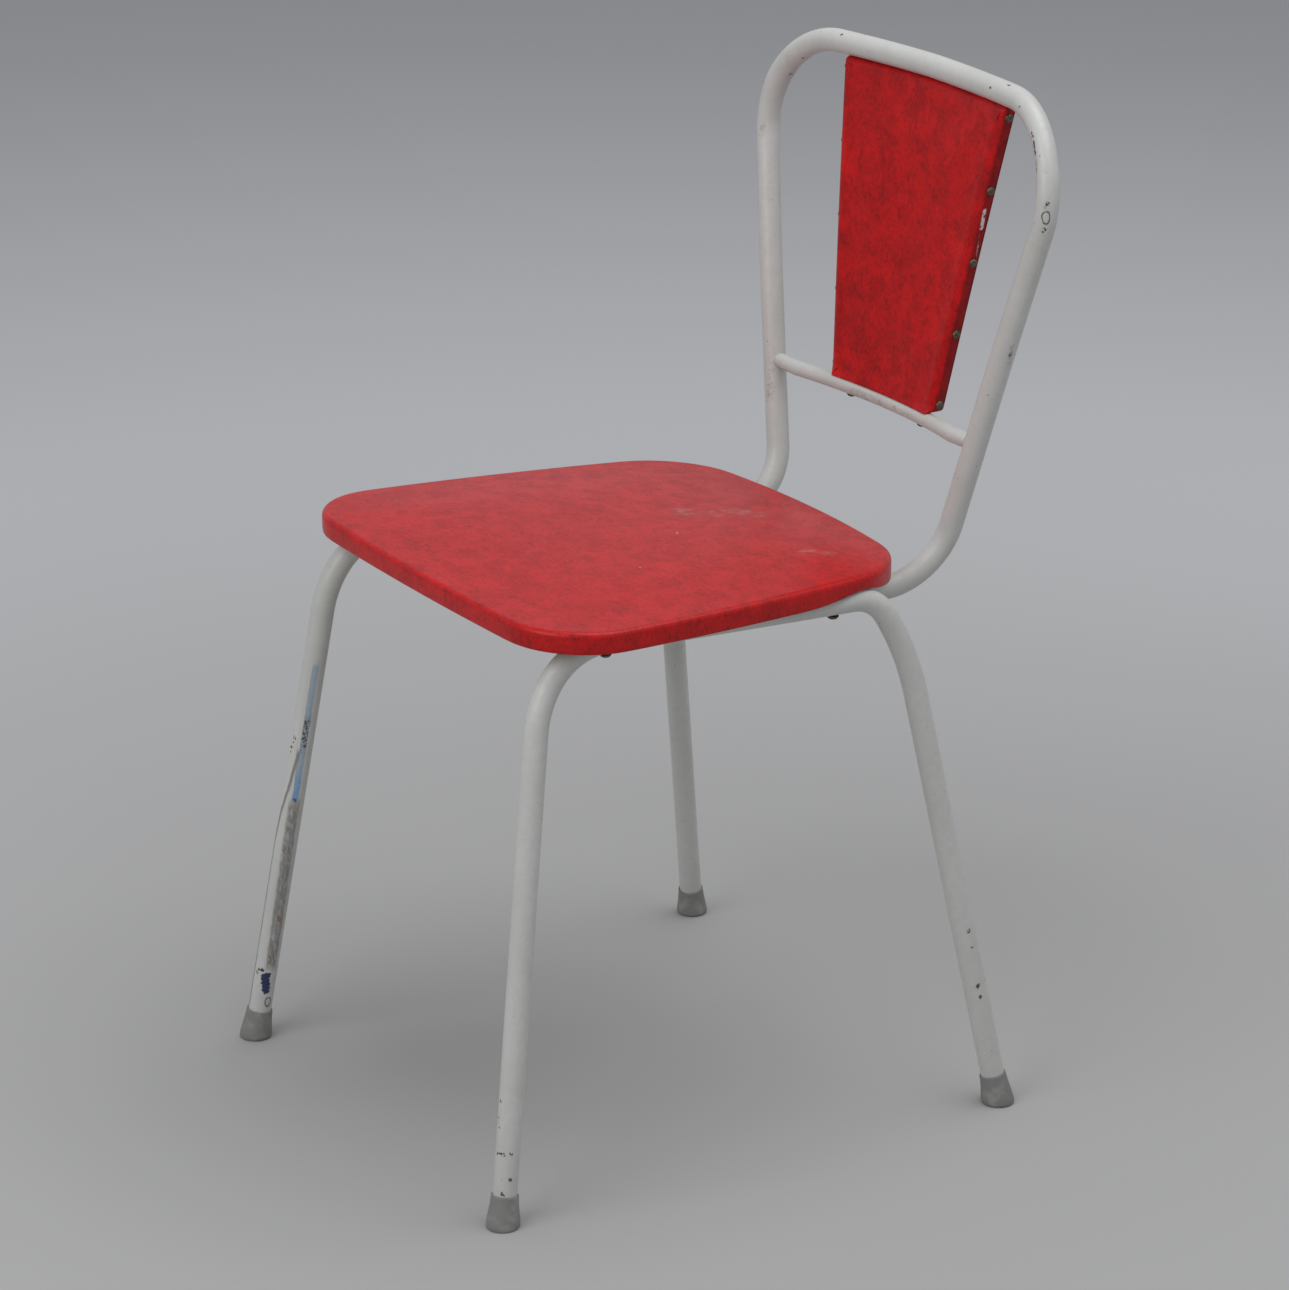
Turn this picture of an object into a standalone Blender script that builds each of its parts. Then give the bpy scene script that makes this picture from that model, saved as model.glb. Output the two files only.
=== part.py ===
"""Metal kitchen chair: two bent leg frames, a bent back hoop, an upholstered seat and back pad.

Metres, Z up, the floor at z = 0. The sitter faces -Y, and the plane x = 0 is the plane of symmetry.
Every piece is a closed solid of its own, and neighbours stand one clearance apart.
"""
import math

import bmesh
import bpy
from mathutils import Vector

# Clearances
CLEARANCE = 0.0003

# Main tube of the leg frames and the hoop
TUBE_RADIUS = 0.010
TUBE_WALL = 0.0015

# Leg frame: corners of the centreline before they are rounded
RAIL_FRONT_X = 0.1690
RAIL_FRONT_Y = -0.2078
RAIL_REAR_X = 0.1770
RAIL_REAR_Y = 0.1252
RAIL_HEIGHT = 0.4525
RAIL_RISE = 0.0113
FOOT_FRONT_X = 0.2136
FOOT_FRONT_Y = -0.2747
FOOT_REAR_X = 0.2402
FOOT_REAR_Y = 0.1976
FRONT_BEND_RADIUS = 0.079
REAR_BEND_RADIUS = 0.036
FRONT_BEND_SETBACK = 0.021
REAR_BEND_SETBACK = 0.020
FRONT_KNEE_RADIUS = 0.105
REAR_KNEE_RADIUS = 0.212
FRONT_KNEE_SHARE = 0.107
REAR_KNEE_SHARE = 0.117

# Tubes across the chair under the seat
CROSS_TUBE_RADIUS = 0.007
CROSS_TUBE_WALL = 0.0012
FRONT_CROSS_Y = -0.0958
REAR_CROSS_Y = 0.0822

# Back hoop
HOOP_INSET = 0.0604
HOOP_SETBACK = 0.0834
HOOP_SPLAY = 0.0400
HOOP_FOOT_RADIUS = 0.057
HOOP_SIDE_RADIUS = 4.0
HOOP_END_PAST_CROSS = 0.010
HOOP_CORNER_X = 0.2236
HOOP_CORNER_Y = 0.2592
HOOP_CORNER_Z = 0.8369
HOOP_CORNER_RADIUS = 0.0755
HOOP_TOP_RISE = 0.0023
HOOP_TOP_BOW = 0.0192
HOOP_SIDE_BOW = 0.0017

# Bar across the back, below the pad
BAR_RADIUS = 0.0065
BAR_HEIGHT = 0.5571
BAR_BOW = 0.0232
BAR_SAG = 0.0040
BAR_FORWARD = 0.0092
BAR_END_INSET = 0.0036

# Seat outline
SEAT_FRONT_WIDTH = 0.4290
SEAT_REAR_WIDTH = 0.3500
SEAT_DEPTH = 0.3705
SEAT_FRONT_OVERHANG = 0.0154
SEAT_FRONT_CORNER = 0.0617
SEAT_REAR_CORNER = 0.0653
SEAT_SIDE_BOW = 0.0093
SEAT_FRONT_BOW = 0.0065
SEAT_REAR_BOW = 0.0173

# Seat layers
SEAT_BOARD_THICKNESS = 0.0060
SEAT_COVER_THICKNESS = 0.0012
SEAT_SKIRT_DROP = 0.0066
SEAT_EDGE_RISE = 0.0114
SEAT_ROLL = 0.0075
SEAT_CROWN = 0.0065
SEAT_EDGE_PADDING = 0.0032

# Seat screws, driven up through the rails
SEAT_SCREW_FRONT_Y = -0.1498
SEAT_SCREW_REAR_Y = 0.0642
SEAT_SCREW_RADIUS = 0.0020
SEAT_SCREW_HEAD_RADIUS = 0.0050
SEAT_SCREW_HEAD_HEIGHT = 0.0030
SEAT_SCREW_BITE = 0.0045

# Back pad
PAD_TOP_HALF_WIDTH = 0.1150
PAD_BOTTOM_HALF_WIDTH = 0.0735
PAD_CORNER = 0.0050
PAD_FRONT_OFFSET = -0.0030
PAD_COVER_THICKNESS = 0.0010
PAD_PADDING_THICKNESS = 0.0035
PAD_BOARD_THICKNESS = 0.0054
PAD_ROLL = 0.0025

# Fasteners of the back pad
TACKS_PER_SIDE = 5
TACK_HEAD_RADIUS = 0.0033
TACK_HEAD_HEIGHT = 0.0017
TACK_SHANK_RADIUS = 0.0007
TACK_SHANK_LENGTH = 0.0080
TACK_TOP_MARGIN = 0.0100
TACK_BOTTOM_MARGIN = 0.0080
BAR_SCREW_X = 0.0520
BAR_SCREW_RADIUS = 0.0013
BAR_SCREW_HEAD_RADIUS = 0.0040
BAR_SCREW_HEAD_HEIGHT = 0.0026
BAR_SCREW_BITE = 0.0100
TOP_PIN_X = 0.0700
TOP_PIN_RADIUS = 0.0015
TOP_PIN_BITE = 0.0100

# Feet
FOOT_HEIGHT = 0.0270
FOOT_SOLE_RADIUS = 0.0128
FOOT_FLARE_RADIUS = 0.0140
FOOT_FLARE_HEIGHT = 0.0030
FOOT_WAIST_RADIUS = 0.0125
FOOT_WAIST_SHARE = 0.45
FOOT_SOLE_ROUND = 0.0003
FOOT_WALL = 0.0009
FOOT_SOLE = 0.0055
WASHER_THICKNESS = 0.0015
WASHER_RADIUS = 0.0085

# Mesh density
TUBE_SIDES = 14
BEND_STEP = math.radians(10.0)
CORNER_STEPS = 9
EDGE_STEPS = 7
PAD_EDGE_STEPS = 8
SMALL_SIDES = 12
RIM_PROBES = 5
RIM_REACH = 0.75
TOP_OF_FRAME = 0.8
TACK_SIDES = 8
FOOT_SIDES = 20
CORE_SHARES = (0.80, 0.55, 0.28)
HOOP_TOP_STEPS = 7
BAR_STEPS = 16
SHARP_ANGLE = math.radians(38.0)

for old in list(bpy.data.objects):
    bpy.data.objects.remove(old, do_unlink=True)


def make_material(name, colour, roughness, metallic=0.0):
    material = bpy.data.materials.new(name)
    material.use_nodes = True
    shader = material.node_tree.nodes["Principled BSDF"]
    shader.inputs["Base Color"].default_value = (*colour, 1.0)
    shader.inputs["Roughness"].default_value = roughness
    shader.inputs["Metallic"].default_value = metallic
    material.diffuse_color = (*colour, 1.0)
    return material


ENAMEL = ("cream_enamel", (0.60, 0.60, 0.56), 0.35, 0.0)
RED_VINYL = ("red_vinyl", (0.42, 0.018, 0.020), 0.45, 0.0)
PLYWOOD = ("plywood", (0.42, 0.27, 0.14), 0.75, 0.0)
WADDING = ("wadding", (0.62, 0.56, 0.42), 0.95, 0.0)
GREY_RUBBER = ("grey_rubber", (0.17, 0.175, 0.17), 0.70, 0.0)
DULL_STEEL = ("dull_steel", (0.20, 0.18, 0.14), 0.50, 0.9)
DULL_BRONZE = ("dull_bronze", (0.16, 0.14, 0.09), 0.45, 0.9)


def finish_object(name, mesh, look):
    """Put the mesh in the scene under the piece's own name, with a material of its own."""
    mesh.shade_smooth()
    mesh.set_sharp_from_angle(angle=SHARP_ANGLE)
    piece = bpy.data.objects.new(name, mesh)
    bpy.context.scene.collection.objects.link(piece)
    if look is None:
        piece.hide_render = True
        piece.display_type = 'WIRE'
    else:
        label, colour, roughness, metallic = look
        mesh.materials.append(make_material(name + "_" + label, colour, roughness, metallic))
    return piece


def mesh_from_rings(name, stacks, look, closed=False):
    """Skin stacks of rings. A ring is a list of points, and a single point is a pole."""
    bm = bmesh.new()
    for rings in stacks:
        levels = []
        for ring in rings:
            if isinstance(ring, Vector):
                levels.append([bm.verts.new(ring)])
            else:
                levels.append([bm.verts.new(point) for point in ring])
        pairs = list(zip(levels[:-1], levels[1:]))
        if closed:
            pairs.append((levels[-1], levels[0]))
        for low, high in pairs:
            count = max(len(low), len(high))
            for i in range(count):
                j = (i + 1) % count
                if len(low) == 1:
                    bm.faces.new((low[0], high[i], high[j]))
                elif len(high) == 1:
                    bm.faces.new((low[i], low[j], high[0]))
                else:
                    bm.faces.new((low[i], low[j], high[j], high[i]))
        if not closed:
            for cap in (levels[0], levels[-1]):
                if len(cap) > 1:
                    bm.faces.new(cap)
    bmesh.ops.recalc_face_normals(bm, faces=bm.faces)
    mesh = bpy.data.meshes.new(name)
    bm.to_mesh(mesh)
    bm.free()
    return finish_object(name, mesh, look)


def side_axes(direction):
    """Two unit vectors square to a direction."""
    helper = Vector((1.0, 0.0, 0.0))
    if abs(direction.normalized().x) > 0.7:
        helper = Vector((0.0, 0.0, 1.0))
    first = direction.cross(helper).normalized()
    second = direction.cross(first).normalized()
    return first, second


def circle(centre, first, second, radius, sides):
    ring = []
    for i in range(sides):
        angle = 2.0 * math.pi * i / sides
        ring.append(centre + first * (radius * math.cos(angle)) + second * (radius * math.sin(angle)))
    return ring


def turned_rings(origin, axis, profile, sides):
    """Rings of a turned piece from (radius, distance along the axis) pairs. Radius 0 is a pole."""
    axis = axis.normalized()
    first, second = side_axes(axis)
    rings = []
    for radius, distance in profile:
        centre = origin + axis * distance
        if radius == 0.0:
            rings.append(centre)
        else:
            rings.append(circle(centre, first, second, radius, sides))
    return rings


def arc_between(start, end, share):
    """Point on the arc from start to end, both measured from the arc's centre."""
    turn = start.angle(end)
    return (start * math.sin((1.0 - share) * turn) + end * math.sin(share * turn)) / math.sin(turn)


def rounded_path(points, radii):
    """Polyline with each inner corner replaced by an arc. Arcs that would meet are shrunk to fit."""
    corners = len(points) - 2
    reach = []
    turns = []
    for i in range(corners):
        before = (points[i + 1] - points[i]).normalized()
        after = (points[i + 2] - points[i + 1]).normalized()
        turn = before.angle(after)
        turns.append(turn)
        reach.append(radii[i] * math.tan(turn / 2.0))
    for i in range(corners + 1):
        length = (points[i + 1] - points[i]).length * 0.98
        left = reach[i - 1] if i > 0 else 0.0
        right = reach[i] if i < corners else 0.0
        if left + right > length:
            share = length / (left + right)
            if i > 0:
                reach[i - 1] *= share
            if i < corners:
                reach[i] *= share
    path = [points[0]]
    for i in range(corners):
        corner = points[i + 1]
        before = (points[i] - corner).normalized()
        after = (points[i + 2] - corner).normalized()
        steps = max(2, math.ceil(turns[i] / BEND_STEP))
        radius = reach[i] / math.tan(turns[i] / 2.0)
        bisector = (before + after).normalized()
        centre = corner + bisector * (radius / math.cos(turns[i] / 2.0))
        start = corner + before * reach[i] - centre
        end = corner + after * reach[i] - centre
        for step in range(steps + 1):
            path.append(centre + arc_between(start, end, step / steps))
    path.append(points[-1])
    return path


def path_frames(path):
    """Square cross-section axes carried along a path without twist."""
    frames = []
    first = None
    for i, point in enumerate(path):
        ahead = path[min(i + 1, len(path) - 1)]
        behind = path[max(i - 1, 0)]
        into = (point - behind).normalized() if i > 0 else (ahead - point).normalized()
        out = (ahead - point).normalized() if i < len(path) - 1 else into
        tangent = (into + out).normalized()
        if first is None:
            first, second = side_axes(tangent)
        first = (first - tangent * first.dot(tangent)).normalized()
        second = tangent.cross(first).normalized()
        frames.append((first, second))
    return frames


def tube_rings(path, radius, sides):
    rings = []
    for point, (first, second) in zip(path, path_frames(path)):
        rings.append(circle(point, first, second, radius, sides))
    return rings


def hollow_tube(name, path, radius, wall, sides, look):
    outer = tube_rings(path, radius, sides)
    inner = tube_rings(path, radius - wall, sides)
    return mesh_from_rings(name, [outer + inner[::-1]], look, closed=True)


def cut(target, cutter):
    modifier = target.modifiers.new("cut_" + cutter.name, 'BOOLEAN')
    modifier.operation = 'DIFFERENCE'
    modifier.solver = 'EXACT'
    modifier.object = cutter


def drill(target, name, holes, sides=SMALL_SIDES):
    """Cut round holes given as (start, end, radius)."""
    stacks = []
    for start, end, radius in holes:
        profile = ((radius, 0.0), (radius, (end - start).length))
        stacks.append(turned_rings(start, end - start, profile, sides))
    cut(target, mesh_from_rings(name, stacks, None))


def mix(a, b, share):
    return a + (b - a) * share


# Leg frames
rail_front = Vector((RAIL_FRONT_X, RAIL_FRONT_Y, RAIL_HEIGHT + RAIL_RISE))
rail_rear = Vector((RAIL_REAR_X, RAIL_REAR_Y, RAIL_HEIGHT))
foot_front = Vector((FOOT_FRONT_X, FOOT_FRONT_Y, 0.0))
foot_rear = Vector((FOOT_REAR_X, FOOT_REAR_Y, 0.0))
front_axis = (rail_front - foot_front).normalized()
rear_axis = (rail_rear - foot_rear).normalized()
tube_start = FOOT_SOLE + WASHER_THICKNESS + 2.0 * CLEARANCE
rail_direction = (rail_rear - rail_front).normalized()

frame_path = rounded_path(
    [
        foot_front + front_axis * tube_start,
        mix(rail_front, foot_front, FRONT_KNEE_SHARE),
        rail_front + rail_direction * FRONT_BEND_SETBACK,
        rail_rear - rail_direction * REAR_BEND_SETBACK,
        mix(rail_rear, foot_rear, REAR_KNEE_SHARE),
        foot_rear + rear_axis * tube_start,
    ],
    [FRONT_KNEE_RADIUS, FRONT_BEND_RADIUS, REAR_BEND_RADIUS, REAR_KNEE_RADIUS],
)


def mirrored(points):
    return [Vector((-p.x, p.y, p.z)) for p in points]


def rail_line(y):
    """Point on the straight line through both rail corners at a given y."""
    return mix(rail_front, rail_rear, (y - RAIL_FRONT_Y) / (RAIL_REAR_Y - RAIL_FRONT_Y))


def frame_point(y):
    """Point on the rounded rail centreline at a given y, on the upper part of the frame."""
    for a, b in zip(frame_path[:-1], frame_path[1:]):
        if a.z > TOP_OF_FRAME * RAIL_HEIGHT and a.y <= y <= b.y:
            return mix(a, b, (y - a.y) / (b.y - a.y))
    return rail_line(y)


frames = {}
for side, sign in (("left", 1.0), ("right", -1.0)):
    path = frame_path if sign > 0.0 else mirrored(frame_path)
    frames[side] = hollow_tube(side + "_leg_frame", path, TUBE_RADIUS, TUBE_WALL, TUBE_SIDES, ENAMEL)

# Tubes across the chair
for end, cross_y in (("front", FRONT_CROSS_Y), ("rear", REAR_CROSS_Y)):
    centre = rail_line(cross_y)
    reach = centre.x - TUBE_RADIUS - CLEARANCE
    ends = [Vector((reach, cross_y, centre.z)), Vector((-reach, cross_y, centre.z))]
    hollow_tube(end + "_cross_tube", ends, CROSS_TUBE_RADIUS, CROSS_TUBE_WALL, SMALL_SIDES, ENAMEL)

# Back hoop: a run under the cross tubes, an upright and the bowed top
run_drop = CROSS_TUBE_RADIUS + TUBE_RADIUS + CLEARANCE
run_slope = (rail_front.z - rail_rear.z) / (RAIL_REAR_Y - RAIL_FRONT_Y)
hoop_foot = Vector((
    RAIL_REAR_X - HOOP_INSET,
    RAIL_REAR_Y + HOOP_SETBACK,
    rail_line(REAR_CROSS_Y).z - run_drop - run_slope * (RAIL_REAR_Y + HOOP_SETBACK - REAR_CROSS_Y),
))


def run_point(y):
    """Point on the straight run of the hoop below the seat."""
    ahead = hoop_foot.y - y
    return Vector((hoop_foot.x + HOOP_SPLAY * ahead, y, hoop_foot.z + run_slope * ahead))


run_end_y = FRONT_CROSS_Y - HOOP_END_PAST_CROSS
while (run_point(run_end_y) - rail_line(run_end_y)).length < 2.0 * TUBE_RADIUS + CLEARANCE:
    run_end_y += CLEARANCE

hoop_corner = Vector((HOOP_CORNER_X, HOOP_CORNER_Y, HOOP_CORNER_Z))
hoop_middle = Vector((0.0, HOOP_CORNER_Y, HOOP_CORNER_Z + HOOP_TOP_RISE))
side_middle = mix(hoop_foot, hoop_corner, 0.5) - Vector((0.0, HOOP_SIDE_BOW, 0.0))
half_hoop = rounded_path(
    [run_point(run_end_y), hoop_foot, side_middle, hoop_corner, hoop_middle],
    [HOOP_FOOT_RADIUS, HOOP_SIDE_RADIUS, HOOP_CORNER_RADIUS],
)
corner_start = hoop_corner - (hoop_corner - side_middle).normalized() * HOOP_CORNER_RADIUS
for i in range(1, HOOP_TOP_STEPS):
    half_hoop.insert(-1, mix(half_hoop[-i - 1], hoop_middle, i / HOOP_TOP_STEPS))


def bowed(point):
    """Push the top of the hoop back, most in the middle and nothing at the corners."""
    if point.z < corner_start.z:
        return point.copy()
    share = max(0.0, 1.0 - (point.x / bow_start_x) ** 2)
    return Vector((point.x, point.y + HOOP_TOP_BOW * share, point.z))


bow_start_x = max(p.x for p in half_hoop if p.z > corner_start.z - HOOP_CORNER_RADIUS)
half_hoop = [bowed(p) for p in half_hoop]
hoop_path = half_hoop + mirrored(half_hoop[:-1])[::-1]
hoop = hollow_tube("back_hoop", hoop_path, TUBE_RADIUS, TUBE_WALL, TUBE_SIDES, ENAMEL)


def hoop_top(x):
    """Centre of the hoop's top tube at a given x."""
    x = abs(x)
    for a, b in zip(half_hoop[:-1], half_hoop[1:]):
        if a.z > corner_start.z and b.x <= x <= a.x:
            return mix(a, b, (a.x - x) / (a.x - b.x))
    return half_hoop[-1]


def upright_at(z):
    """Centre of the hoop's upright at a given height."""
    for a, b in zip(half_hoop[:-1], half_hoop[1:]):
        if a.z <= z <= b.z:
            return mix(a, b, (z - a.z) / (b.z - a.z))
    return hoop_foot


# Bar across the back
bar_upright = upright_at(BAR_HEIGHT)
bar_reach = bar_upright.x - BAR_END_INSET


def bar_point(x):
    share = 1.0 - (x / bar_reach) ** 2
    y = bar_upright.y - BAR_FORWARD + BAR_BOW * share
    return Vector((x, y, BAR_HEIGHT - BAR_SAG * share))


bar_path = [bar_point(bar_reach * (1.0 - 2.0 * i / BAR_STEPS)) for i in range(BAR_STEPS + 1)]
bar = mesh_from_rings("back_crossbar", [tube_rings(bar_path, BAR_RADIUS, TUBE_SIDES)], ENAMEL)
cope_stacks = []
for points in (half_hoop, mirrored(half_hoop)):
    near = [p for p in points if abs(p.z - BAR_HEIGHT) < 3.0 * TUBE_RADIUS]
    sign = 1.0 if points[0].x > 0.0 else -1.0
    low = upright_at(BAR_HEIGHT - 3.0 * TUBE_RADIUS)
    high = upright_at(BAR_HEIGHT + 3.0 * TUBE_RADIUS)
    ends = [Vector((sign * low.x, low.y, low.z)), Vector((sign * high.x, high.y, high.z))]
    cope_path = [ends[0]] + near + [ends[1]]
    cope_stacks.append(tube_rings(cope_path, TUBE_RADIUS + CLEARANCE, TUBE_SIDES))
cut(bar, mesh_from_rings("cope_cutter", cope_stacks, None))


# Seat outline in plan
def seat_outline():
    """Points round the rounded trapezoid of the seat, more of them in the corners."""
    front_y = RAIL_FRONT_Y - SEAT_FRONT_OVERHANG
    rear_y = front_y + SEAT_DEPTH
    front_half = SEAT_FRONT_WIDTH / 2.0
    rear_half = SEAT_REAR_WIDTH / 2.0
    corners = [
        (Vector((front_half, front_y, 0.0)), SEAT_FRONT_CORNER),
        (Vector((rear_half, rear_y, 0.0)), SEAT_REAR_CORNER),
        (Vector((-rear_half, rear_y, 0.0)), SEAT_REAR_CORNER),
        (Vector((-front_half, front_y, 0.0)), SEAT_FRONT_CORNER),
    ]
    arcs = []
    for i, (corner, radius) in enumerate(corners):
        before = (corners[i - 1][0] - corner).normalized()
        after = (corners[(i + 1) % 4][0] - corner).normalized()
        turn = math.pi - before.angle(after)
        centre = corner + (before + after).normalized() * (radius / math.cos(turn / 2.0))
        start = corner + before * (radius * math.tan(turn / 2.0)) - centre
        end = corner + after * (radius * math.tan(turn / 2.0)) - centre
        arcs.append([
            centre + arc_between(start, end, k / CORNER_STEPS) for k in range(CORNER_STEPS + 1)
        ])
    points = []
    for i, arc in enumerate(arcs):
        points.extend(arc)
        following = arcs[(i + 1) % 4][0]
        points.extend(mix(arc[-1], following, k / EDGE_STEPS) for k in range(1, EDGE_STEPS))
    middle_y = (front_y + rear_y) / 2.0
    shaped = []
    for p in points:
        along = max(-1.0, min(1.0, (p.y - middle_y) / (SEAT_DEPTH / 2.0)))
        half = front_half if along < 0.0 else rear_half
        across = max(0.0, 1.0 - (p.x / half) ** 2)
        side_share = min(1.0, abs(p.x) / (0.5 * half)) * math.copysign(1.0, p.x)
        x = p.x + side_share * SEAT_SIDE_BOW * (1.0 - along ** 2)
        y = p.y - SEAT_FRONT_BOW * across * max(0.0, -along)
        y += SEAT_REAR_BOW * across * max(0.0, along)
        shaped.append(Vector((x, y, 0.0)))
    return shaped


outline = seat_outline()
outline_normals = []
for i, point in enumerate(outline):
    tangent = (outline[(i + 1) % len(outline)] - outline[i - 1]).normalized()
    outline_normals.append(Vector((tangent.y, -tangent.x, 0.0)))
seat_centre = Vector((0.0, sum(p.y for p in outline) / len(outline), 0.0))


def seat_plane(y):
    """Height of the rail tops, carried on beyond the rails."""
    return rail_line(y).z + TUBE_RADIUS


def rail_top_above(x, y):
    """Top of the leg frame over a plan point, or a very low number where there is none."""
    best = -1.0
    point = Vector((abs(x), y, 0.0))
    for a, b in zip(frame_path[:-1], frame_path[1:]):
        if min(a.z, b.z) < TOP_OF_FRAME * RAIL_HEIGHT:
            continue
        flat_a = Vector((a.x, a.y, 0.0))
        run = Vector((b.x, b.y, 0.0)) - flat_a
        share = max(0.0, min(1.0, (point - flat_a).dot(run) / run.length_squared))
        away = (point - flat_a - run * share).length
        reach = TUBE_RADIUS + 2.0 * CLEARANCE
        if away < reach:
            best = max(best, mix(a.z, b.z, share) + math.sqrt(reach ** 2 - away ** 2))
    return best


# The lower rim hangs below the board, and lifts where it passes over the rails
board_inset = SEAT_COVER_THICKNESS + SEAT_EDGE_PADDING + 2.0 * CLEARANCE
rim = []
for i, point in enumerate(outline):
    level = -SEAT_SKIRT_DROP
    for neighbour in (-1, 0, 1):
        other = mix(point, outline[(i + neighbour) % len(outline)], RIM_REACH)
        for k in range(RIM_PROBES):
            probe = other - outline_normals[i] * (board_inset * k / (RIM_PROBES - 1))
            top = rail_top_above(probe.x, probe.y)
            if top > 0.0:
                level = max(level, top - seat_plane(point.y) + CLEARANCE)
    rim.append(level)
for _ in range(2):
    count = len(rim)
    rim = [max(rim[i], (rim[i - 1] + rim[(i + 1) % count]) / 2.0) for i in range(count)]


def seat_ring(inset, lift):
    """Ring of seat points: inset from the outline, lift above the rail tops (a number or one per point)."""
    ring = []
    for i, (point, normal) in enumerate(zip(outline, outline_normals)):
        flat = point - normal * inset
        rise = lift[i] if isinstance(lift, list) else lift
        ring.append(Vector((flat.x, flat.y, seat_plane(flat.y) + rise)))
    return ring


def seat_core_ring(inset, share, lift):
    """Inner ring of the top, shrunk towards the middle of the seat."""
    ring = []
    for point, normal in zip(outline, outline_normals):
        flat = seat_centre + (point - normal * inset - seat_centre) * share
        ring.append(Vector((flat.x, flat.y, seat_plane(flat.y) + lift)))
    return ring


def seat_pole(lift):
    return Vector((0.0, seat_centre.y, seat_plane(seat_centre.y) + lift))


def seat_skin(depth):
    """Rings from the rim over the edge to the middle, at a depth below the outer surface."""
    edge = SEAT_EDGE_RISE
    rings = [seat_ring(depth, rim)]
    for k in range(5):
        angle = math.radians(90.0 * k / 4.0)
        rings.append(seat_ring(
            depth + (SEAT_ROLL - depth) * (1.0 - math.cos(angle)),
            edge - SEAT_ROLL + (SEAT_ROLL - depth) * math.sin(angle),
        ))
    for share in CORE_SHARES:
        rings.append(seat_core_ring(SEAT_ROLL, share, edge - depth + SEAT_CROWN * (1.0 - share ** 2)))
    rings.append(seat_pole(edge - depth + SEAT_CROWN))
    return rings


seat_cover = mesh_from_rings(
    "seat_cover", [seat_skin(SEAT_COVER_THICKNESS)[::-1] + seat_skin(0.0)], RED_VINYL
)

board_low = CLEARANCE
board_high = board_low + SEAT_BOARD_THICKNESS
padding_skin = seat_skin(SEAT_COVER_THICKNESS + CLEARANCE)
padding_rim = [level + CLEARANCE for level in rim]
padding_skin[0] = seat_ring(SEAT_COVER_THICKNESS + CLEARANCE, padding_rim)
padding_under = [
    seat_pole(board_high + CLEARANCE),
    seat_core_ring(SEAT_ROLL, CORE_SHARES[1], board_high + CLEARANCE),
    seat_ring(board_inset - CLEARANCE, board_high + CLEARANCE),
    seat_ring(board_inset - CLEARANCE, padding_rim),
]
seat_padding = mesh_from_rings("seat_padding", [padding_under + padding_skin], WADDING)
seat_board = mesh_from_rings(
    "seat_board", [[seat_ring(board_inset, board_low), seat_ring(board_inset, board_high)]], PLYWOOD
)


def dome_screw(name, seat_point, axis, head, shank, look, sides=SMALL_SIDES):
    """Domed head against a face with its shank running along the axis."""
    head_radius, head_height = head
    shank_radius, shank_length = shank
    profile = [(0.0, -head_height)]
    for k in (1, 2, 3):
        angle = math.radians(30.0 * k)
        profile.append((head_radius * math.sin(angle), -head_height * math.cos(angle)))
    profile.append((shank_radius, 0.0))
    profile.append((shank_radius, shank_length))
    profile.append((0.0, shank_length))
    return mesh_from_rings(name, [turned_rings(seat_point, axis, profile, sides)], look)


# Seat screws
up = Vector((0.0, 0.0, 1.0))
board_holes = []
rail_holes = {"left": [], "right": []}
for end, screw_y in (("front", SEAT_SCREW_FRONT_Y), ("rear", SEAT_SCREW_REAR_Y)):
    rail = frame_point(screw_y)
    for side, sign in (("left", 1.0), ("right", -1.0)):
        head = Vector((sign * rail.x, screw_y, rail.z - TUBE_RADIUS - 2.0 * CLEARANCE))
        board_face = seat_plane(screw_y) + board_low
        length = board_face + SEAT_SCREW_BITE - head.z
        dome_screw(
            side + "_" + end + "_seat_screw", head, up,
            (SEAT_SCREW_HEAD_RADIUS, SEAT_SCREW_HEAD_HEIGHT), (SEAT_SCREW_RADIUS, length), DULL_BRONZE,
        )
        radius = SEAT_SCREW_RADIUS + CLEARANCE
        top = head + up * (length + CLEARANCE)
        board_holes.append((Vector((head.x, head.y, board_face - TUBE_RADIUS)), top, radius))
        through = 4.0 * TUBE_RADIUS
        rail_holes[side].append((head - up * TUBE_RADIUS, head + up * (through - TUBE_RADIUS), radius))
drill(seat_board, "seat_board_drill", board_holes)
for side in ("left", "right"):
    drill(frames[side], side + "_rail_drill", rail_holes[side])


# Back pad: its faces follow the curve between the top tube and the bar
def pad_low(x):
    return bar_point(x).z + BAR_RADIUS + CLEARANCE


def pad_high(x):
    return hoop_top(x).z - TUBE_RADIUS - CLEARANCE


def pad_point(x, z, offset):
    share = (z - bar_point(x).z) / (hoop_top(x).z - bar_point(x).z)
    y = bar_point(x).y + (hoop_top(x).y - bar_point(x).y) * share + offset
    return Vector((x, y, z))


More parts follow.
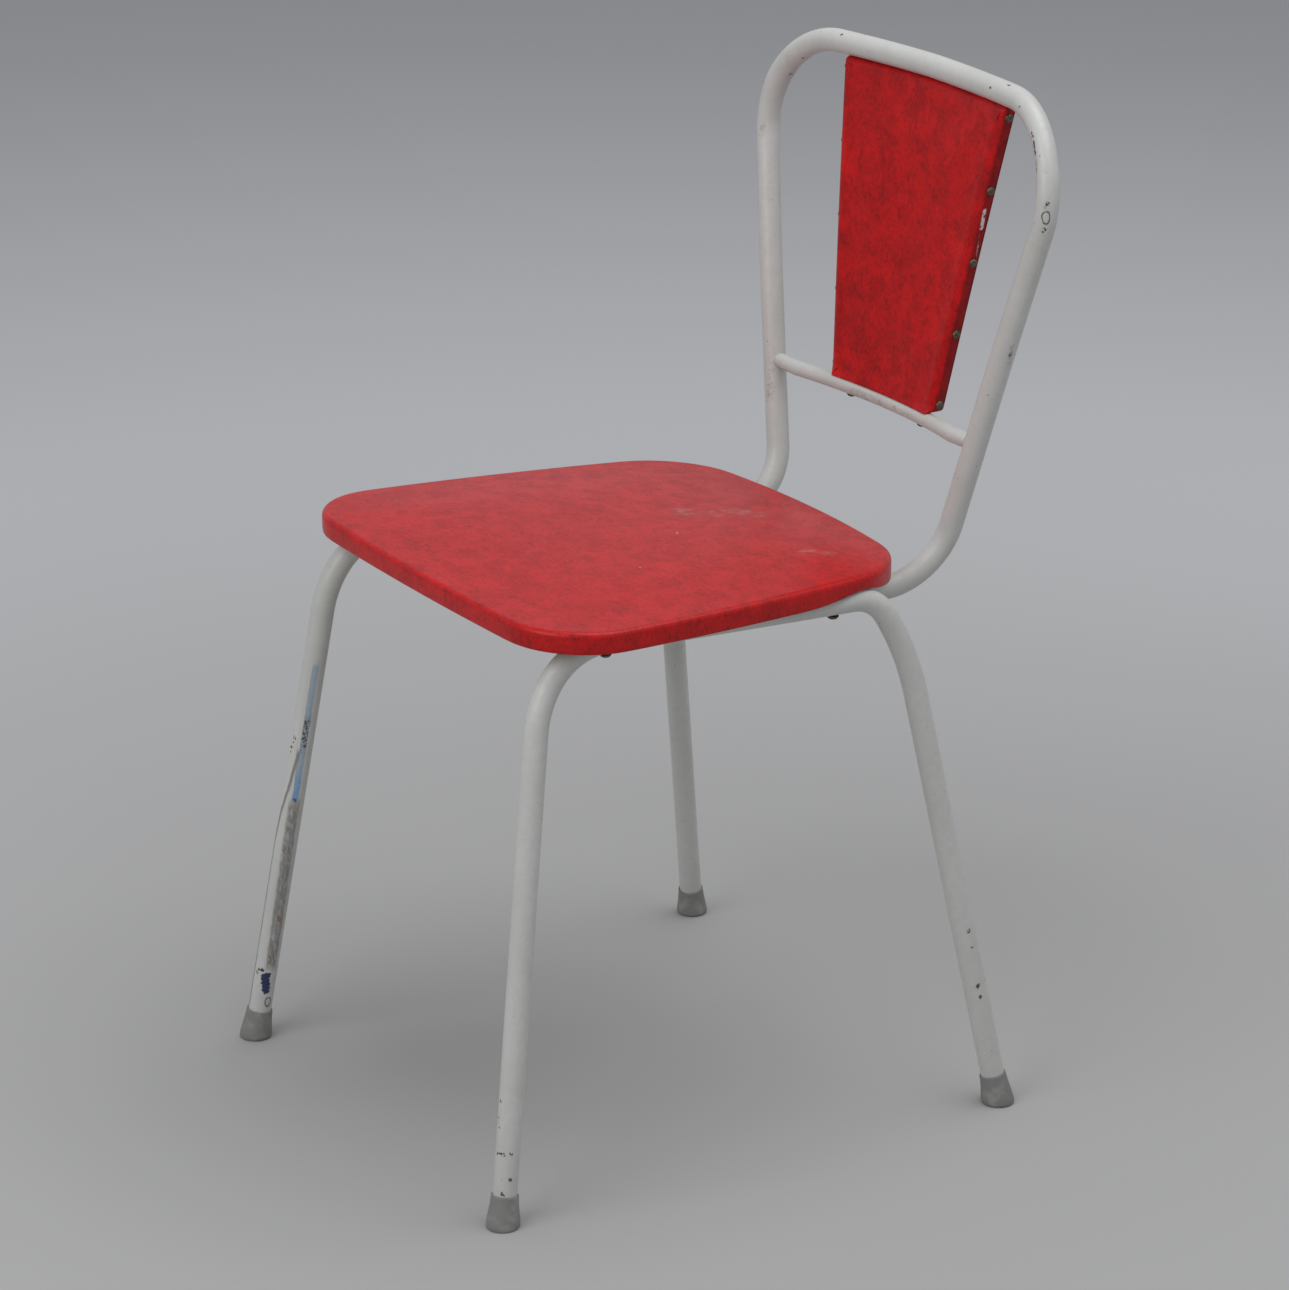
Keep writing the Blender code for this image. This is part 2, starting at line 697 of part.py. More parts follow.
def pad_outline():
    """Rounded trapezoid of the pad as (x, height share) pairs, widest at the top."""
    height = pad_high(0.0) - pad_low(0.0)
    corners = [
        (PAD_BOTTOM_HALF_WIDTH, 0.0), (PAD_TOP_HALF_WIDTH, height),
        (-PAD_TOP_HALF_WIDTH, height), (-PAD_BOTTOM_HALF_WIDTH, 0.0),
    ]
    corners = [Vector((x, z, 0.0)) for x, z in corners]
    arcs = []
    for i, corner in enumerate(corners):
        before = (corners[i - 1] - corner).normalized()
        after = (corners[(i + 1) % 4] - corner).normalized()
        turn = math.pi - before.angle(after)
        centre = corner + (before + after).normalized() * (PAD_CORNER / math.cos(turn / 2.0))
        start = corner + before * (PAD_CORNER * math.tan(turn / 2.0)) - centre
        end = corner + after * (PAD_CORNER * math.tan(turn / 2.0)) - centre
        arcs.append([centre + arc_between(start, end, k / 3) for k in range(4)])
    points = []
    for i, arc in enumerate(arcs):
        points.extend(arc)
        following = arcs[(i + 1) % 4][0]
        points.extend(mix(arc[-1], following, k / PAD_EDGE_STEPS) for k in range(1, PAD_EDGE_STEPS))
    return points, height


pad_points, pad_height = pad_outline()
pad_normals = []
for i, point in enumerate(pad_points):
    tangent = (pad_points[(i + 1) % len(pad_points)] - pad_points[i - 1]).normalized()
    pad_normals.append(Vector((tangent.y, -tangent.x, 0.0)))
pad_centre = Vector((0.0, pad_height / 2.0, 0.0))


def pad_ring(inset, offset, share=1.0):
    """Ring of pad points, inset from the outline and set back from the tube centres."""
    ring = []
    for point, normal in zip(pad_points, pad_normals):
        flat = pad_centre + (point - normal * inset - pad_centre) * share
        low, high = pad_low(flat.x), pad_high(flat.x)
        z = low + (high - low) * flat.y / pad_height
        ring.append(pad_point(flat.x, z, offset))
    return ring


def pad_face(inset, offset):
    """Rings and pole that close a face of the pad."""
    rings = [pad_ring(inset, offset, share) for share in CORE_SHARES]
    middle = pad_low(0.0) + (pad_high(0.0) - pad_low(0.0)) / 2.0
    return rings + [pad_point(0.0, middle, offset)]


front_face = PAD_FRONT_OFFSET
padding_front = front_face + PAD_COVER_THICKNESS + CLEARANCE
board_front = padding_front + PAD_PADDING_THICKNESS + CLEARANCE
board_back = board_front + PAD_BOARD_THICKNESS
skin_inset = PAD_COVER_THICKNESS + CLEARANCE
rear_front = board_back + CLEARANCE
rear_back = rear_front + PAD_COVER_THICKNESS


def pad_skin(depth):
    """Rings of the cover from its rear edge round the front edge to the middle."""
    rings = [pad_ring(depth, board_back)]
    for k in range(3):
        angle = math.radians(45.0 * k)
        rings.append(pad_ring(
            depth + (PAD_ROLL - depth) * (1.0 - math.cos(angle)),
            front_face + PAD_ROLL - (PAD_ROLL - depth) * math.sin(angle),
        ))
    return rings + pad_face(PAD_ROLL, front_face + depth)


back_cover = mesh_from_rings(
    "back_cover", [pad_skin(PAD_COVER_THICKNESS)[::-1] + pad_skin(0.0)], RED_VINYL
)
padding_edge = board_front - CLEARANCE
back_padding = mesh_from_rings(
    "back_padding",
    [
        pad_face(PAD_ROLL, padding_edge)[::-1]
        + [pad_ring(skin_inset, padding_edge), pad_ring(skin_inset, front_face + PAD_ROLL)]
        + [pad_ring(PAD_ROLL, padding_front)]
        + pad_face(PAD_ROLL, padding_front)
    ],
    WADDING,
)
back_board = mesh_from_rings(
    "back_board",
    [
        pad_face(skin_inset, board_front)[::-1]
        + [pad_ring(skin_inset, board_front), pad_ring(skin_inset, board_back)]
        + pad_face(skin_inset, board_back)
    ],
    PLYWOOD,
)
back_rear_cover = mesh_from_rings(
    "back_rear_cover",
    [
        pad_face(0.0, rear_front)[::-1]
        + [pad_ring(0.0, rear_front), pad_ring(0.0, rear_back)]
        + pad_face(0.0, rear_back)
    ],
    RED_VINYL,
)

# Tacks down both sides of the back pad
board_middle = (board_front + board_back) / 2.0
tack_holes = []
for k in range(TACKS_PER_SIDE):
    span = pad_height - TACK_TOP_MARGIN - TACK_BOTTOM_MARGIN
    level = pad_height - TACK_TOP_MARGIN - span * k / (TACKS_PER_SIDE - 1)
    share = level / pad_height
    half = PAD_BOTTOM_HALF_WIDTH + (PAD_TOP_HALF_WIDTH - PAD_BOTTOM_HALF_WIDTH) * share
    z = pad_low(half) + (pad_high(half) - pad_low(half)) * share
    for side, sign in (("left", 1.0), ("right", -1.0)):
        surface = pad_point(sign * half, z, board_middle)
        lean = (PAD_TOP_HALF_WIDTH - PAD_BOTTOM_HALF_WIDTH) / pad_height
        inward = Vector((-sign, 0.0, lean)).normalized()
        head = surface - inward * (2.0 * CLEARANCE)
        dome_screw(
            side + "_back_tack_" + str(k + 1), head, inward,
            (TACK_HEAD_RADIUS, TACK_HEAD_HEIGHT), (TACK_SHANK_RADIUS, TACK_SHANK_LENGTH),
            DULL_BRONZE, TACK_SIDES,
        )
        deep = head + inward * (TACK_SHANK_LENGTH + CLEARANCE)
        tack_holes.append((head - inward * TACK_HEAD_RADIUS, deep, TACK_SHANK_RADIUS + CLEARANCE))

# Screws up through the bar and pins down from the top tube, along the lean of the pad
bar_holes = []
pin_holes = []
for side, sign in (("left", 1.0), ("right", -1.0)):
    bar_centre = bar_point(sign * BAR_SCREW_X)
    lean = hoop_top(BAR_SCREW_X) - bar_centre
    lean = Vector((0.0, lean.y, lean.z)).normalized()
    entry = pad_point(bar_centre.x, pad_low(bar_centre.x), board_middle)
    below = (entry - bar_centre).dot(lean) + BAR_RADIUS + 2.0 * CLEARANCE
    head = entry - lean * below
    length = below + skin_inset + BAR_SCREW_BITE
    dome_screw(
        side + "_back_screw", head, lean,
        (BAR_SCREW_HEAD_RADIUS, BAR_SCREW_HEAD_HEIGHT), (BAR_SCREW_RADIUS, length), DULL_BRONZE,
    )
    hole = (head - lean * BAR_RADIUS, head + lean * (length + CLEARANCE), BAR_SCREW_RADIUS + CLEARANCE)
    bar_holes.append(hole)

    tube = hoop_top(TOP_PIN_X)
    lean = tube - bar_point(TOP_PIN_X)
    lean = Vector((0.0, lean.y, lean.z)).normalized()
    entry = pad_point(sign * TOP_PIN_X, pad_high(TOP_PIN_X), board_middle)
    above = (Vector((entry.x, tube.y, tube.z)) - entry).dot(lean) - 2.0 * TUBE_WALL
    top = entry + lean * above
    bottom = entry - lean * (skin_inset + TOP_PIN_BITE)
    pin_profile = [(TOP_PIN_RADIUS, 0.0), (TOP_PIN_RADIUS, (top - bottom).length)]
    pin_rings = turned_rings(bottom, lean, pin_profile, SMALL_SIDES)
    mesh_from_rings(side + "_back_top_pin", [pin_rings], DULL_STEEL)
    pin_holes.append((bottom - lean * CLEARANCE, top + lean * CLEARANCE, TOP_PIN_RADIUS + CLEARANCE))
drill(bar, "bar_drill", bar_holes)
drill(hoop, "hoop_drill", pin_holes)
for target in (back_cover, back_board):
    drill(target, target.name + "_tack_drill", tack_holes, TACK_SIDES)
    drill(target, target.name + "_edge_drill", bar_holes + pin_holes)


# Feet: a flared rubber ferrule over each tube end, with a washer inside
def make_foot(name, centre, axis):
    first, second = side_axes(axis)
    tube_fit = TUBE_RADIUS + CLEARANCE
    rings = [centre.copy()]
    # distance along the leg, radius, and how far the ring leans from level to square with the leg
    outer = [
        (0.0, FOOT_SOLE_RADIUS, 0.0),
        (FOOT_FLARE_HEIGHT / 2.0, FOOT_FLARE_RADIUS - FOOT_SOLE_ROUND, 0.1),
        (FOOT_FLARE_HEIGHT, FOOT_FLARE_RADIUS, 0.2),
        (FOOT_HEIGHT * FOOT_WAIST_SHARE, FOOT_WAIST_RADIUS, 0.6),
        (FOOT_HEIGHT, tube_fit + FOOT_WALL, 1.0),
    ]
    for distance, radius, lean in outer:
        direction = mix(up, axis, lean).normalized()
        x_axis = (first - direction * first.dot(direction)).normalized()
        y_axis = direction.cross(x_axis).normalized()
        rings.append(circle(centre + axis * distance, x_axis, y_axis, radius, FOOT_SIDES))
    x_axis = (first - axis * first.dot(axis)).normalized()
    y_axis = axis.cross(x_axis).normalized()
    for distance in (FOOT_HEIGHT, FOOT_SOLE):
        rings.append(circle(centre + axis * distance, x_axis, y_axis, tube_fit, FOOT_SIDES))
    rings.append(centre + axis * FOOT_SOLE)
    mesh_from_rings(name + "_foot", [rings], GREY_RUBBER)
    washer_low = FOOT_SOLE + CLEARANCE
    profile = [(WASHER_RADIUS, washer_low), (WASHER_RADIUS, washer_low + WASHER_THICKNESS)]
    mesh_from_rings(
        name + "_foot_washer", [turned_rings(centre, axis, profile, SMALL_SIDES)], DULL_STEEL
    )


for end, centre, axis in (("front", foot_front, front_axis), ("rear", foot_rear, rear_axis)):
    make_foot("left_" + end, centre, axis)
    make_foot("right_" + end, Vector((-centre.x, centre.y, 0.0)), Vector((-axis.x, axis.y, axis.z)))
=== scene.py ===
# %% [markdown]
# # A bent-tube kitchen chair
#
# Two inverted-U leg frames, a bent back hoop and a thin crossbar carry a padded seat and a
# tapered back pad, both covered in mottled red vinyl. The solids of the chair are loaded first
# as a fixed frame. Each cell then makes one visible piece or one finish, and hangs it on them.

# %% Load the chair's solids
import math

import bmesh
import bpy
from mathutils import Matrix, Vector


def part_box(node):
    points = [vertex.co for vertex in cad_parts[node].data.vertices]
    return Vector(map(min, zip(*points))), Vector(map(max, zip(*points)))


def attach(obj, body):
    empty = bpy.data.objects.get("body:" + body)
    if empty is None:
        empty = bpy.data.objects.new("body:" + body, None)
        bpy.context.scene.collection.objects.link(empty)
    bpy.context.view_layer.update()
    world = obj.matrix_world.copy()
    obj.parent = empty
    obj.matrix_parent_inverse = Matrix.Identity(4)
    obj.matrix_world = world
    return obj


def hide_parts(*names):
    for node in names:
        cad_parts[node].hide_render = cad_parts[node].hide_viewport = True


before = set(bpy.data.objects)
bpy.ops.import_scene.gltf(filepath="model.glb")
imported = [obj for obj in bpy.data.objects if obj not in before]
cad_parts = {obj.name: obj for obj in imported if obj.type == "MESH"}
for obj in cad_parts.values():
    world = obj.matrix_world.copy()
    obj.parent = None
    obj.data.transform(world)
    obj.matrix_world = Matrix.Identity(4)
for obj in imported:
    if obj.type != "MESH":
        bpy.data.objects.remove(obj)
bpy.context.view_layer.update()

print("solids:", len(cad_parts))

# %% [markdown]
# ## The chair's own sizes
#
# These are the sizes that a maker would set out before bending any tube. They are the driving
# sizes of the solids, in metres. X runs to the sitter's left, -Y is the way the sitter faces,
# and the floor is z = 0.

# %% Sizes
GAP = 0.0003
TUBE_RADIUS = 0.010
RAIL_FRONT = Vector((0.1690, -0.2078, 0.4638))
RAIL_REAR = Vector((0.1770, 0.1252, 0.4525))
FOOT_FRONT = Vector((0.2136, -0.2747, 0.0))
FOOT_REAR = Vector((0.2402, 0.1976, 0.0))
FRONT_BEND_RADIUS, REAR_BEND_RADIUS = 0.079, 0.036
FRONT_BEND_SETBACK, REAR_BEND_SETBACK = 0.021, 0.020
FRONT_KNEE_RADIUS, REAR_KNEE_RADIUS = 0.105, 0.212
FRONT_KNEE_SHARE, REAR_KNEE_SHARE = 0.107, 0.117
TUBE_START = 0.0076

CROSS_TUBE_RADIUS = 0.007
CROSS_TUBE_Y = {"front": -0.0958, "rear": 0.0822}
HOOP_FOOT = Vector((0.1166, 0.2086, 0.0))
HOOP_RUN_END_Y = -0.1058
HOOP_SPLAY = 0.0400
HOOP_CORNER = Vector((0.2236, 0.2592, 0.8369))
HOOP_TOP_RISE, HOOP_TOP_BOW, HOOP_SIDE_BOW = 0.0023, 0.0192, 0.0017
HOOP_FOOT_RADIUS, HOOP_SIDE_RADIUS, HOOP_CORNER_RADIUS = 0.057, 4.0, 0.0755

BAR_RADIUS, BAR_HEIGHT, BAR_BOW, BAR_SAG = 0.0065, 0.5571, 0.0232, 0.0040
BAR_END_INSET = 0.0036

SEAT_FRONT_HALF, SEAT_REAR_HALF = 0.2145, 0.1750
SEAT_FRONT_Y, SEAT_DEPTH = -0.2232, 0.3705
SEAT_FRONT_CORNER, SEAT_REAR_CORNER = 0.0617, 0.0653
SEAT_SIDE_BOW, SEAT_FRONT_BOW, SEAT_REAR_BOW = 0.0093, 0.0065, 0.0173
SEAT_RIM_DROP, SEAT_EDGE_RISE = 0.0066, 0.0114

PAD_TOP_HALF, PAD_BOTTOM_HALF, PAD_CORNER = 0.1150, 0.0735, 0.0050
PAD_FRONT, PAD_RECESS, PAD_REAR = -0.0030, 0.0020, 0.0075
REAR_PANEL_FRONT, REAR_PANEL_BACK = 0.0078, 0.0088


def rail_line(y):
    """Point on the straight line between the rail's corners at a given y."""
    return RAIL_FRONT.lerp(RAIL_REAR, (y - RAIL_FRONT.y) / (RAIL_REAR.y - RAIL_FRONT.y))


def seat_plane(y):
    """Height of the rail tops, carried on beyond the rails."""
    return rail_line(y).z + TUBE_RADIUS


print("seat plane in front and behind:", round(seat_plane(-0.18), 3), round(seat_plane(0.18), 3))

# %% [markdown]
# ## Helpers for every piece
#
# Each piece ends as one mesh object at the origin that rides on the chair's only body. Round
# metal is shaded smooth, and edges sharper than a set angle stay crisp.

# %% Piece helper
SHARP_ANGLE = math.radians(38.0)


def mesh_from(name, bm):
    """Turn a bmesh into a mesh and free it."""
    mesh = bpy.data.meshes.new(name)
    bm.to_mesh(mesh)
    bm.free()
    return mesh


def link_new(name, data):
    """Make an object at the origin and put it in the scene."""
    made = bpy.data.objects.new(name, data)
    bpy.context.scene.collection.objects.link(made)
    return made


def make_piece(name, bm, material, replaced):
    """Close a bmesh into an object, shade it, give it its finish, hang it on the chair and hide the
    solid it replaces.
    """
    mesh = mesh_from(name, bm)
    mesh.shade_smooth()
    mesh.set_sharp_from_angle(angle=SHARP_ANGLE)
    mesh.materials.append(material)
    piece = link_new(name, mesh)
    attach(piece, "root")
    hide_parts(replaced)
    print(name, "faces:", len(mesh.polygons))


print("piece helpers ready")

# %% [markdown]
# ## Shader helpers
#
# Every finish is built from a few nodes: a noise to vary a colour, a ramp to pick the spots of
# it that show, and a bump to raise or sink them. The helpers below keep each finish short. They
# could be wired by hand in the shader editor just as well, one box for each call.

# %% Shader helpers
class Shader:
    """A material's node tree with short calls for the nodes that the finishes share."""

    def __init__(self, name):
        self.material = bpy.data.materials.new(name)
        self.material.use_nodes = True
        self.nodes = self.material.node_tree.nodes
        self.links = self.material.node_tree.links
        self.surface = self.nodes["Principled BSDF"]
        self.place = self.nodes.new("ShaderNodeTexCoord").outputs["Object"]

    def feed(self, socket, value):
        """Link a socket to another one, or give it a plain value."""
        if isinstance(value, bpy.types.NodeSocket):
            self.links.new(value, socket)
        elif isinstance(value, (tuple, list)) and len(value) == 3 and socket.type == 'RGBA':
            socket.default_value = (*value, 1.0)
        else:
            socket.default_value = value

    def add(self, kind, inputs, **settings):
        """Add a node, choose its settings, feed its inputs and return its outputs."""
        node = self.nodes.new("ShaderNode" + kind)
        for key, choice in settings.items():
            setattr(node, key, choice)
        for key, value in inputs.items():
            self.feed(node.inputs[key], value)
        return node.outputs

    def math(self, operation, a, b=0.0, clamp=False):
        return self.add("Math", {0: a, 1: b}, operation=operation, use_clamp=clamp)[0]

    def times(self, a, b):
        return self.math('MULTIPLY', a, b)

    def vector(self, operation, a, b, result="Vector"):
        return self.add("VectorMath", {0: a, 1: b}, operation=operation)[result]

    def scaled(self, vector, amount):
        return self.add("VectorMath", {0: vector, "Scale": amount}, operation='SCALE')["Vector"]

    def range(self, value, low, high, to_low=0.0, to_high=1.0):
        """Ease a value from one span onto another."""
        inputs = {"Value": value, "From Min": low, "From Max": high,
                  "To Min": to_low, "To Max": to_high}
        return self.add("MapRange", inputs, interpolation_type='SMOOTHSTEP')["Result"]

    def mix(self, share, a, b):
        return self.add("Mix", {0: share, 6: a, 7: b}, data_type='RGBA')[2]

    def noise(self, scale, detail=4.0, roughness=0.55, distortion=0.0, vector=None):
        inputs = {"Vector": vector or self.place, "Scale": scale, "Detail": detail,
                  "Roughness": roughness, "Distortion": distortion}
        return self.add("TexNoise", inputs)["Fac"]

    def cloud(self, scale, low, high, to_low=0.0, to_high=1.0, **grain):
        """Soft-edged patches: to_low where a noise is under low, to_high where it is over high."""
        return self.range(self.noise(scale, **grain), low, high, to_low, to_high)

    def stretch(self, scale):
        return self.add("Mapping", {"Vector": self.place, "Scale": scale})["Vector"]

    def bump(self, height, distance, strength=1.0, normal=None):
        inputs = {"Height": height, "Distance": distance, "Strength": strength}
        if normal is not None:
            inputs["Normal"] = normal
        return self.add("Bump", inputs)["Normal"]

    def finish(self, **sockets):
        """Feed the surface's own sockets and return the material."""
        for key, value in sockets.items():
            self.feed(self.surface.inputs[key.replace("_", " ")], value)
        return self.material


print("shader helpers ready")

# %% [markdown]
# ## Marks at a place
#
# Chips, scuffs and stains sit where the chair was knocked, so each is drawn at its own place. A
# mark is a distance that the shader measures, to a point or to a short straight line. Pushing
# the coordinates about with a noise first makes its edge ragged, as real wear is.

# %% Marks
NOISE_MIDDLE = (0.5, 0.5, 0.5)
ORIGIN = (0.0, 0.0, 0.0)


def wobble(s, scale, amount):
    """Object coordinates pushed about by a noise."""
    noise = s.add("TexNoise", {"Vector": s.place, "Scale": scale, "Detail": 3.0})["Color"]
    push = s.scaled(s.vector('SUBTRACT', noise, NOISE_MIDDLE), amount)
    return s.vector('ADD', s.place, push)


def spots(s, vector, marks, edge=0.25):
    """Share of the nearest round mark, from (place, radius) pairs. 1 inside, 0 outside."""
    total = None
    for place, radius in marks:
        away = s.vector('DISTANCE', vector, place, "Value")
        spot = s.range(away, radius * (1.0 - edge), radius, 1.0, 0.0)
        total = spot if total is None else s.math('MAXIMUM', total, spot)
    return total


def streak(s, vector, start, end, radius, edge=0.6):
    """Share of a straight mark drawn from start to end. 1 inside, 0 outside."""
    run = Vector(end) - Vector(start)
    away = s.vector('SUBTRACT', vector, start)
    along = s.vector('DOT_PRODUCT', away, run / run.length_squared, "Value")
    along = s.math('ADD', along, 0.0, clamp=True)
    apart = s.vector('DISTANCE', away, s.scaled(run, along), "Value")
    return s.range(apart, radius * (1.0 - edge), radius, 1.0, 0.0)


def oval_rim(s, vector, place, radius, squash, bore):
    """Share of the rim of an oval mark. The bore is the clear middle's share of the radius."""
    oval = s.vector('MULTIPLY', s.vector('SUBTRACT', vector, place), squash)
    whole, middle = (spots(s, oval, [(ORIGIN, size)]) for size in (radius, radius * bore))
    return s.math('SUBTRACT', whole, middle, clamp=True)


print("mark helpers ready")

# %% [markdown]
# ## Cream enamel
#
# The tubes are dipped in an off-white stove enamel. It is smooth and half glossy, slightly
# yellowed, with grey grime that settled in faint clouds and fine specks. Where the chair was
# knocked the enamel chipped down to dark steel. The coat comes first and is the same on every
# tube, and the chips, strokes, rings and brown grime are laid over it from each tube's own list.

# %% Enamel
ENAMEL_PALE, ENAMEL_DULL = (0.525, 0.527, 0.503), (0.470, 0.470, 0.440)
GREY_DUST, YELLOW_STAIN, BROWN_SPECK = (0.38, 0.365, 0.32), (0.36, 0.31, 0.22), (0.10, 0.085, 0.07)
BROWN_GRIME = (0.235, 0.190, 0.140)
DARK_STEEL, RUSTY_STEEL = (0.045, 0.040, 0.038), (0.120, 0.085, 0.060)
BARE_ROUGHNESS = (0.6, 0.6, 0.6)
CHIP_RAGGED, CHIP_RAGGED_SCALE, CHIP_DEPTH = 0.0055, 330.0, 0.0005
RING_SQUASH, RING_BORE = (1.0, 1.0, 0.62), 0.76


def enamel_coat(s):
    """The clean coat: colour, roughness and surface, all faintly uneven."""
    colour = s.mix(s.cloud(9.0, 0.35, 0.75, detail=5.0, roughness=0.6), ENAMEL_PALE, ENAMEL_DULL)
    fine = s.cloud(140.0, 0.35, 0.75, roughness=0.62)
    colour = s.mix(s.times(fine, 0.18), colour, GREY_DUST)
    stain = s.cloud(21.0, 0.60, 0.72, detail=5.0, roughness=0.7)
    colour = s.mix(s.times(stain, 0.22), colour, YELLOW_STAIN)
    specks = s.cloud(420.0, 0.715, 0.745, detail=2.0, roughness=0.5)
    gate = s.cloud(24.0, 0.50, 0.60, detail=2.0, roughness=0.5)
    colour = s.mix(s.times(specks, gate), colour, BROWN_SPECK)
    rough = s.range(fine, 0.0, 1.0, 0.34, 0.50)
    wave = s.bump(s.noise(48.0, 2.0, 0.5), 0.0005, 0.15)
    return colour, rough, wave


def chipped(s, colour, rough, wave, chips, strokes=(), rings=(), grime=()):
    """Lay bare chips, strokes and rings, and brown grime, over the coat."""
    ragged = wobble(s, CHIP_RAGGED_SCALE, CHIP_RAGGED)
    bare = s.times(spots(s, ragged, chips), s.cloud(560.0, 0.40, 0.50, detail=2.0))
    for start, end, radius in strokes:
        stroke = streak(s, wobble(s, 260.0, 0.0030), start, end, radius, 0.35)
        stroke = s.times(stroke, s.cloud(420.0, 0.40, 0.48, detail=2.0))
        bare = s.math('MAXIMUM', bare, stroke)
    for place, radius in rings:
        rim = oval_rim(s, wobble(s, 200.0, 0.002), place, radius, RING_SQUASH, RING_BORE)
        bare = s.math('MAXIMUM', bare, s.times(rim, s.cloud(300.0, 0.30, 0.42)))
    for start, end, radius in grime:
        dirt = streak(s, ragged, start, end, radius, 0.9)
        dirt = s.times(dirt, s.cloud(240.0, 0.42, 0.62, roughness=0.7))
        colour = s.mix(s.times(dirt, 0.6), colour, BROWN_GRIME)
    rust = s.cloud(700.0, 0.40, 0.65, detail=3.0, roughness=0.6)
    colour = s.mix(bare, colour, s.mix(rust, DARK_STEEL, RUSTY_STEEL))
    rough = s.mix(bare, rough, BARE_ROUGHNESS)
    normal = s.bump(s.math('SUBTRACT', 1.0, bare), CHIP_DEPTH, 0.8, wave)
    return s.finish(Base_Color=colour, Roughness=rough, Normal=normal)


def chipped_enamel(name, **marks):
    s = Shader(name)
    return chipped(s, *enamel_coat(s), **marks)


print("enamel ready")

# %% [markdown]
# ## Where the enamel is worn
#
# These are the marks of this one chair, in metres. A chip is a place and a radius, a stroke or a
# patch of grime is a start, an end and a radius. Most of them lie where a chair meets others:
# round the top of the hoop, on the crossbar, and low on the legs.

# %% Worn places
HOOP_STROKES = [((0.1735, 0.2528, 0.8245), (0.1765, 0.2514, 0.8200), 0.0010),
                ((0.1815, 0.2497, 0.8145), (0.1874, 0.2474, 0.8056), 0.0016),
                ((0.1912, 0.2456, 0.7985), (0.1930, 0.2448, 0.7925), 0.0010),
                ((0.1225, 0.2677, 0.8472), (0.1195, 0.2677, 0.8462), 0.0011)]
HOOP_CHIPS = [
    ((0.1782, 0.2509, 0.8181), 0.0016), ((0.2092, 0.2444, 0.7695), 0.0016),
    ((0.2081, 0.2420, 0.7489), 0.0023), ((0.1012, 0.2643, 0.8415), 0.0016),
    ((0.1506, 0.2577, 0.8363), 0.0019), ((0.1816, 0.2325, 0.6394), 0.0019),
    ((-0.1148, 0.2656, 0.8454), 0.0017), ((-0.0945, 0.2764, 0.8478), 0.0015),
    ((-0.1800, 0.2575, 0.7998), 0.0019), ((-0.1642, 0.2591, 0.8168), 0.0019),
]
HOOP_RINGS = [((0.2090, 0.2429, 0.7589), 0.0040)]
HOOP_GRIME = [((-0.1965, 0.2387, 0.7560), (-0.1965, 0.2387, 0.7440), 0.0040),
              ((0.1830, 0.2330, 0.6470), (0.1800, 0.2320, 0.6330), 0.0036),
              ((-0.1420, 0.2130, 0.5700), (-0.1380, 0.2100, 0.5250), 0.0060),
              ((0.1760, 0.2500, 0.8190), (0.1900, 0.2450, 0.7990), 0.0046),
              ((0.2100, 0.2440, 0.7740), (0.2085, 0.2425, 0.7660), 0.0036)]
BAR_CHIPS = [((-0.1197, 0.2149, 0.5565), 0.0019)]
BAR_GRIME = [((-0.0391, 0.2292, 0.5521), (0.0008, 0.2306, 0.5532), 0.0060),
             ((0.0200, 0.2290, 0.5525), (0.0500, 0.2260, 0.5540), 0.0045)]
LEFT_CHIPS = [
    ((0.2084, -0.2755, 0.0633), 0.0020), ((0.2112, -0.2743, 0.0633), 0.0014),
    ((0.2139, -0.2732, 0.0632), 0.0016), ((0.2169, -0.2685, 0.0641), 0.0020),
    ((0.2193, -0.2706, 0.0426), 0.0022), ((0.2175, -0.2775, 0.0304), 0.0021),
    ((0.2040, -0.2696, 0.1049), 0.0018), ((0.2035, -0.2713, 0.0911), 0.0012),
    ((0.2045, -0.2719, 0.0875), 0.0012), ((0.2056, -0.2726, 0.0843), 0.0012),
    ((0.2277, 0.1712, 0.1593), 0.0022), ((0.2298, 0.1732, 0.1441), 0.0018),
    ((0.2344, 0.1771, 0.1101), 0.0024), ((0.2358, 0.1785, 0.1002), 0.0020),
]

hoop_enamel = chipped_enamel("hoop_enamel", chips=HOOP_CHIPS, strokes=HOOP_STROKES,
                             rings=HOOP_RINGS, grime=HOOP_GRIME)
bar_enamel = chipped_enamel("crossbar_enamel", chips=BAR_CHIPS, grime=BAR_GRIME)
left_enamel = chipped_enamel("left_frame_enamel", chips=LEFT_CHIPS)
print("made", hoop_enamel.name, bar_enamel.name, left_enamel.name)

# %% [markdown]
# ## The scraped leg
#
# One front leg was scraped from the knee to the foot. The top of the scrape shows an older
# light blue coat, its tail is scuffed grey-brown, a bare line winds down beside it, and dark
# blue spots remain near the foot. The scrape follows the tube, so its places are heights and
# angles round the leg's axis.

# %% Scraped leg
SCRAPE_TOP, SCRAPE_TURN, SCRAPE_FOOT = 0.350, 0.225, 0.068
SCRAPE_ANGLE, SCRAPE_TAIL_ANGLE = math.radians(-20.0), math.radians(-7.0)
SCRAPE_HALF, TAIL_HALF = math.radians(17.0), math.radians(36.0)
PALE_FROM, PALE_TO = 0.235, 0.262
BROWN_LOW, BROWN_HIGH = 0.272, 0.302
LINE_HIGH, LINE_LOW, LINE_FOOT = 0.272, 0.180, 0.03
LINE_HIGH_ANGLE, LINE_LOW_ANGLE = math.radians(-42.0), math.radians(-107.0)
LINE_HALF = math.radians(12.0)
OLD_BLUE, OLD_BLUE_PALE = (0.155, 0.310, 0.540), (0.290, 0.370, 0.430)
OLD_BLUE_SCUFFED = (0.42, 0.43, 0.42)
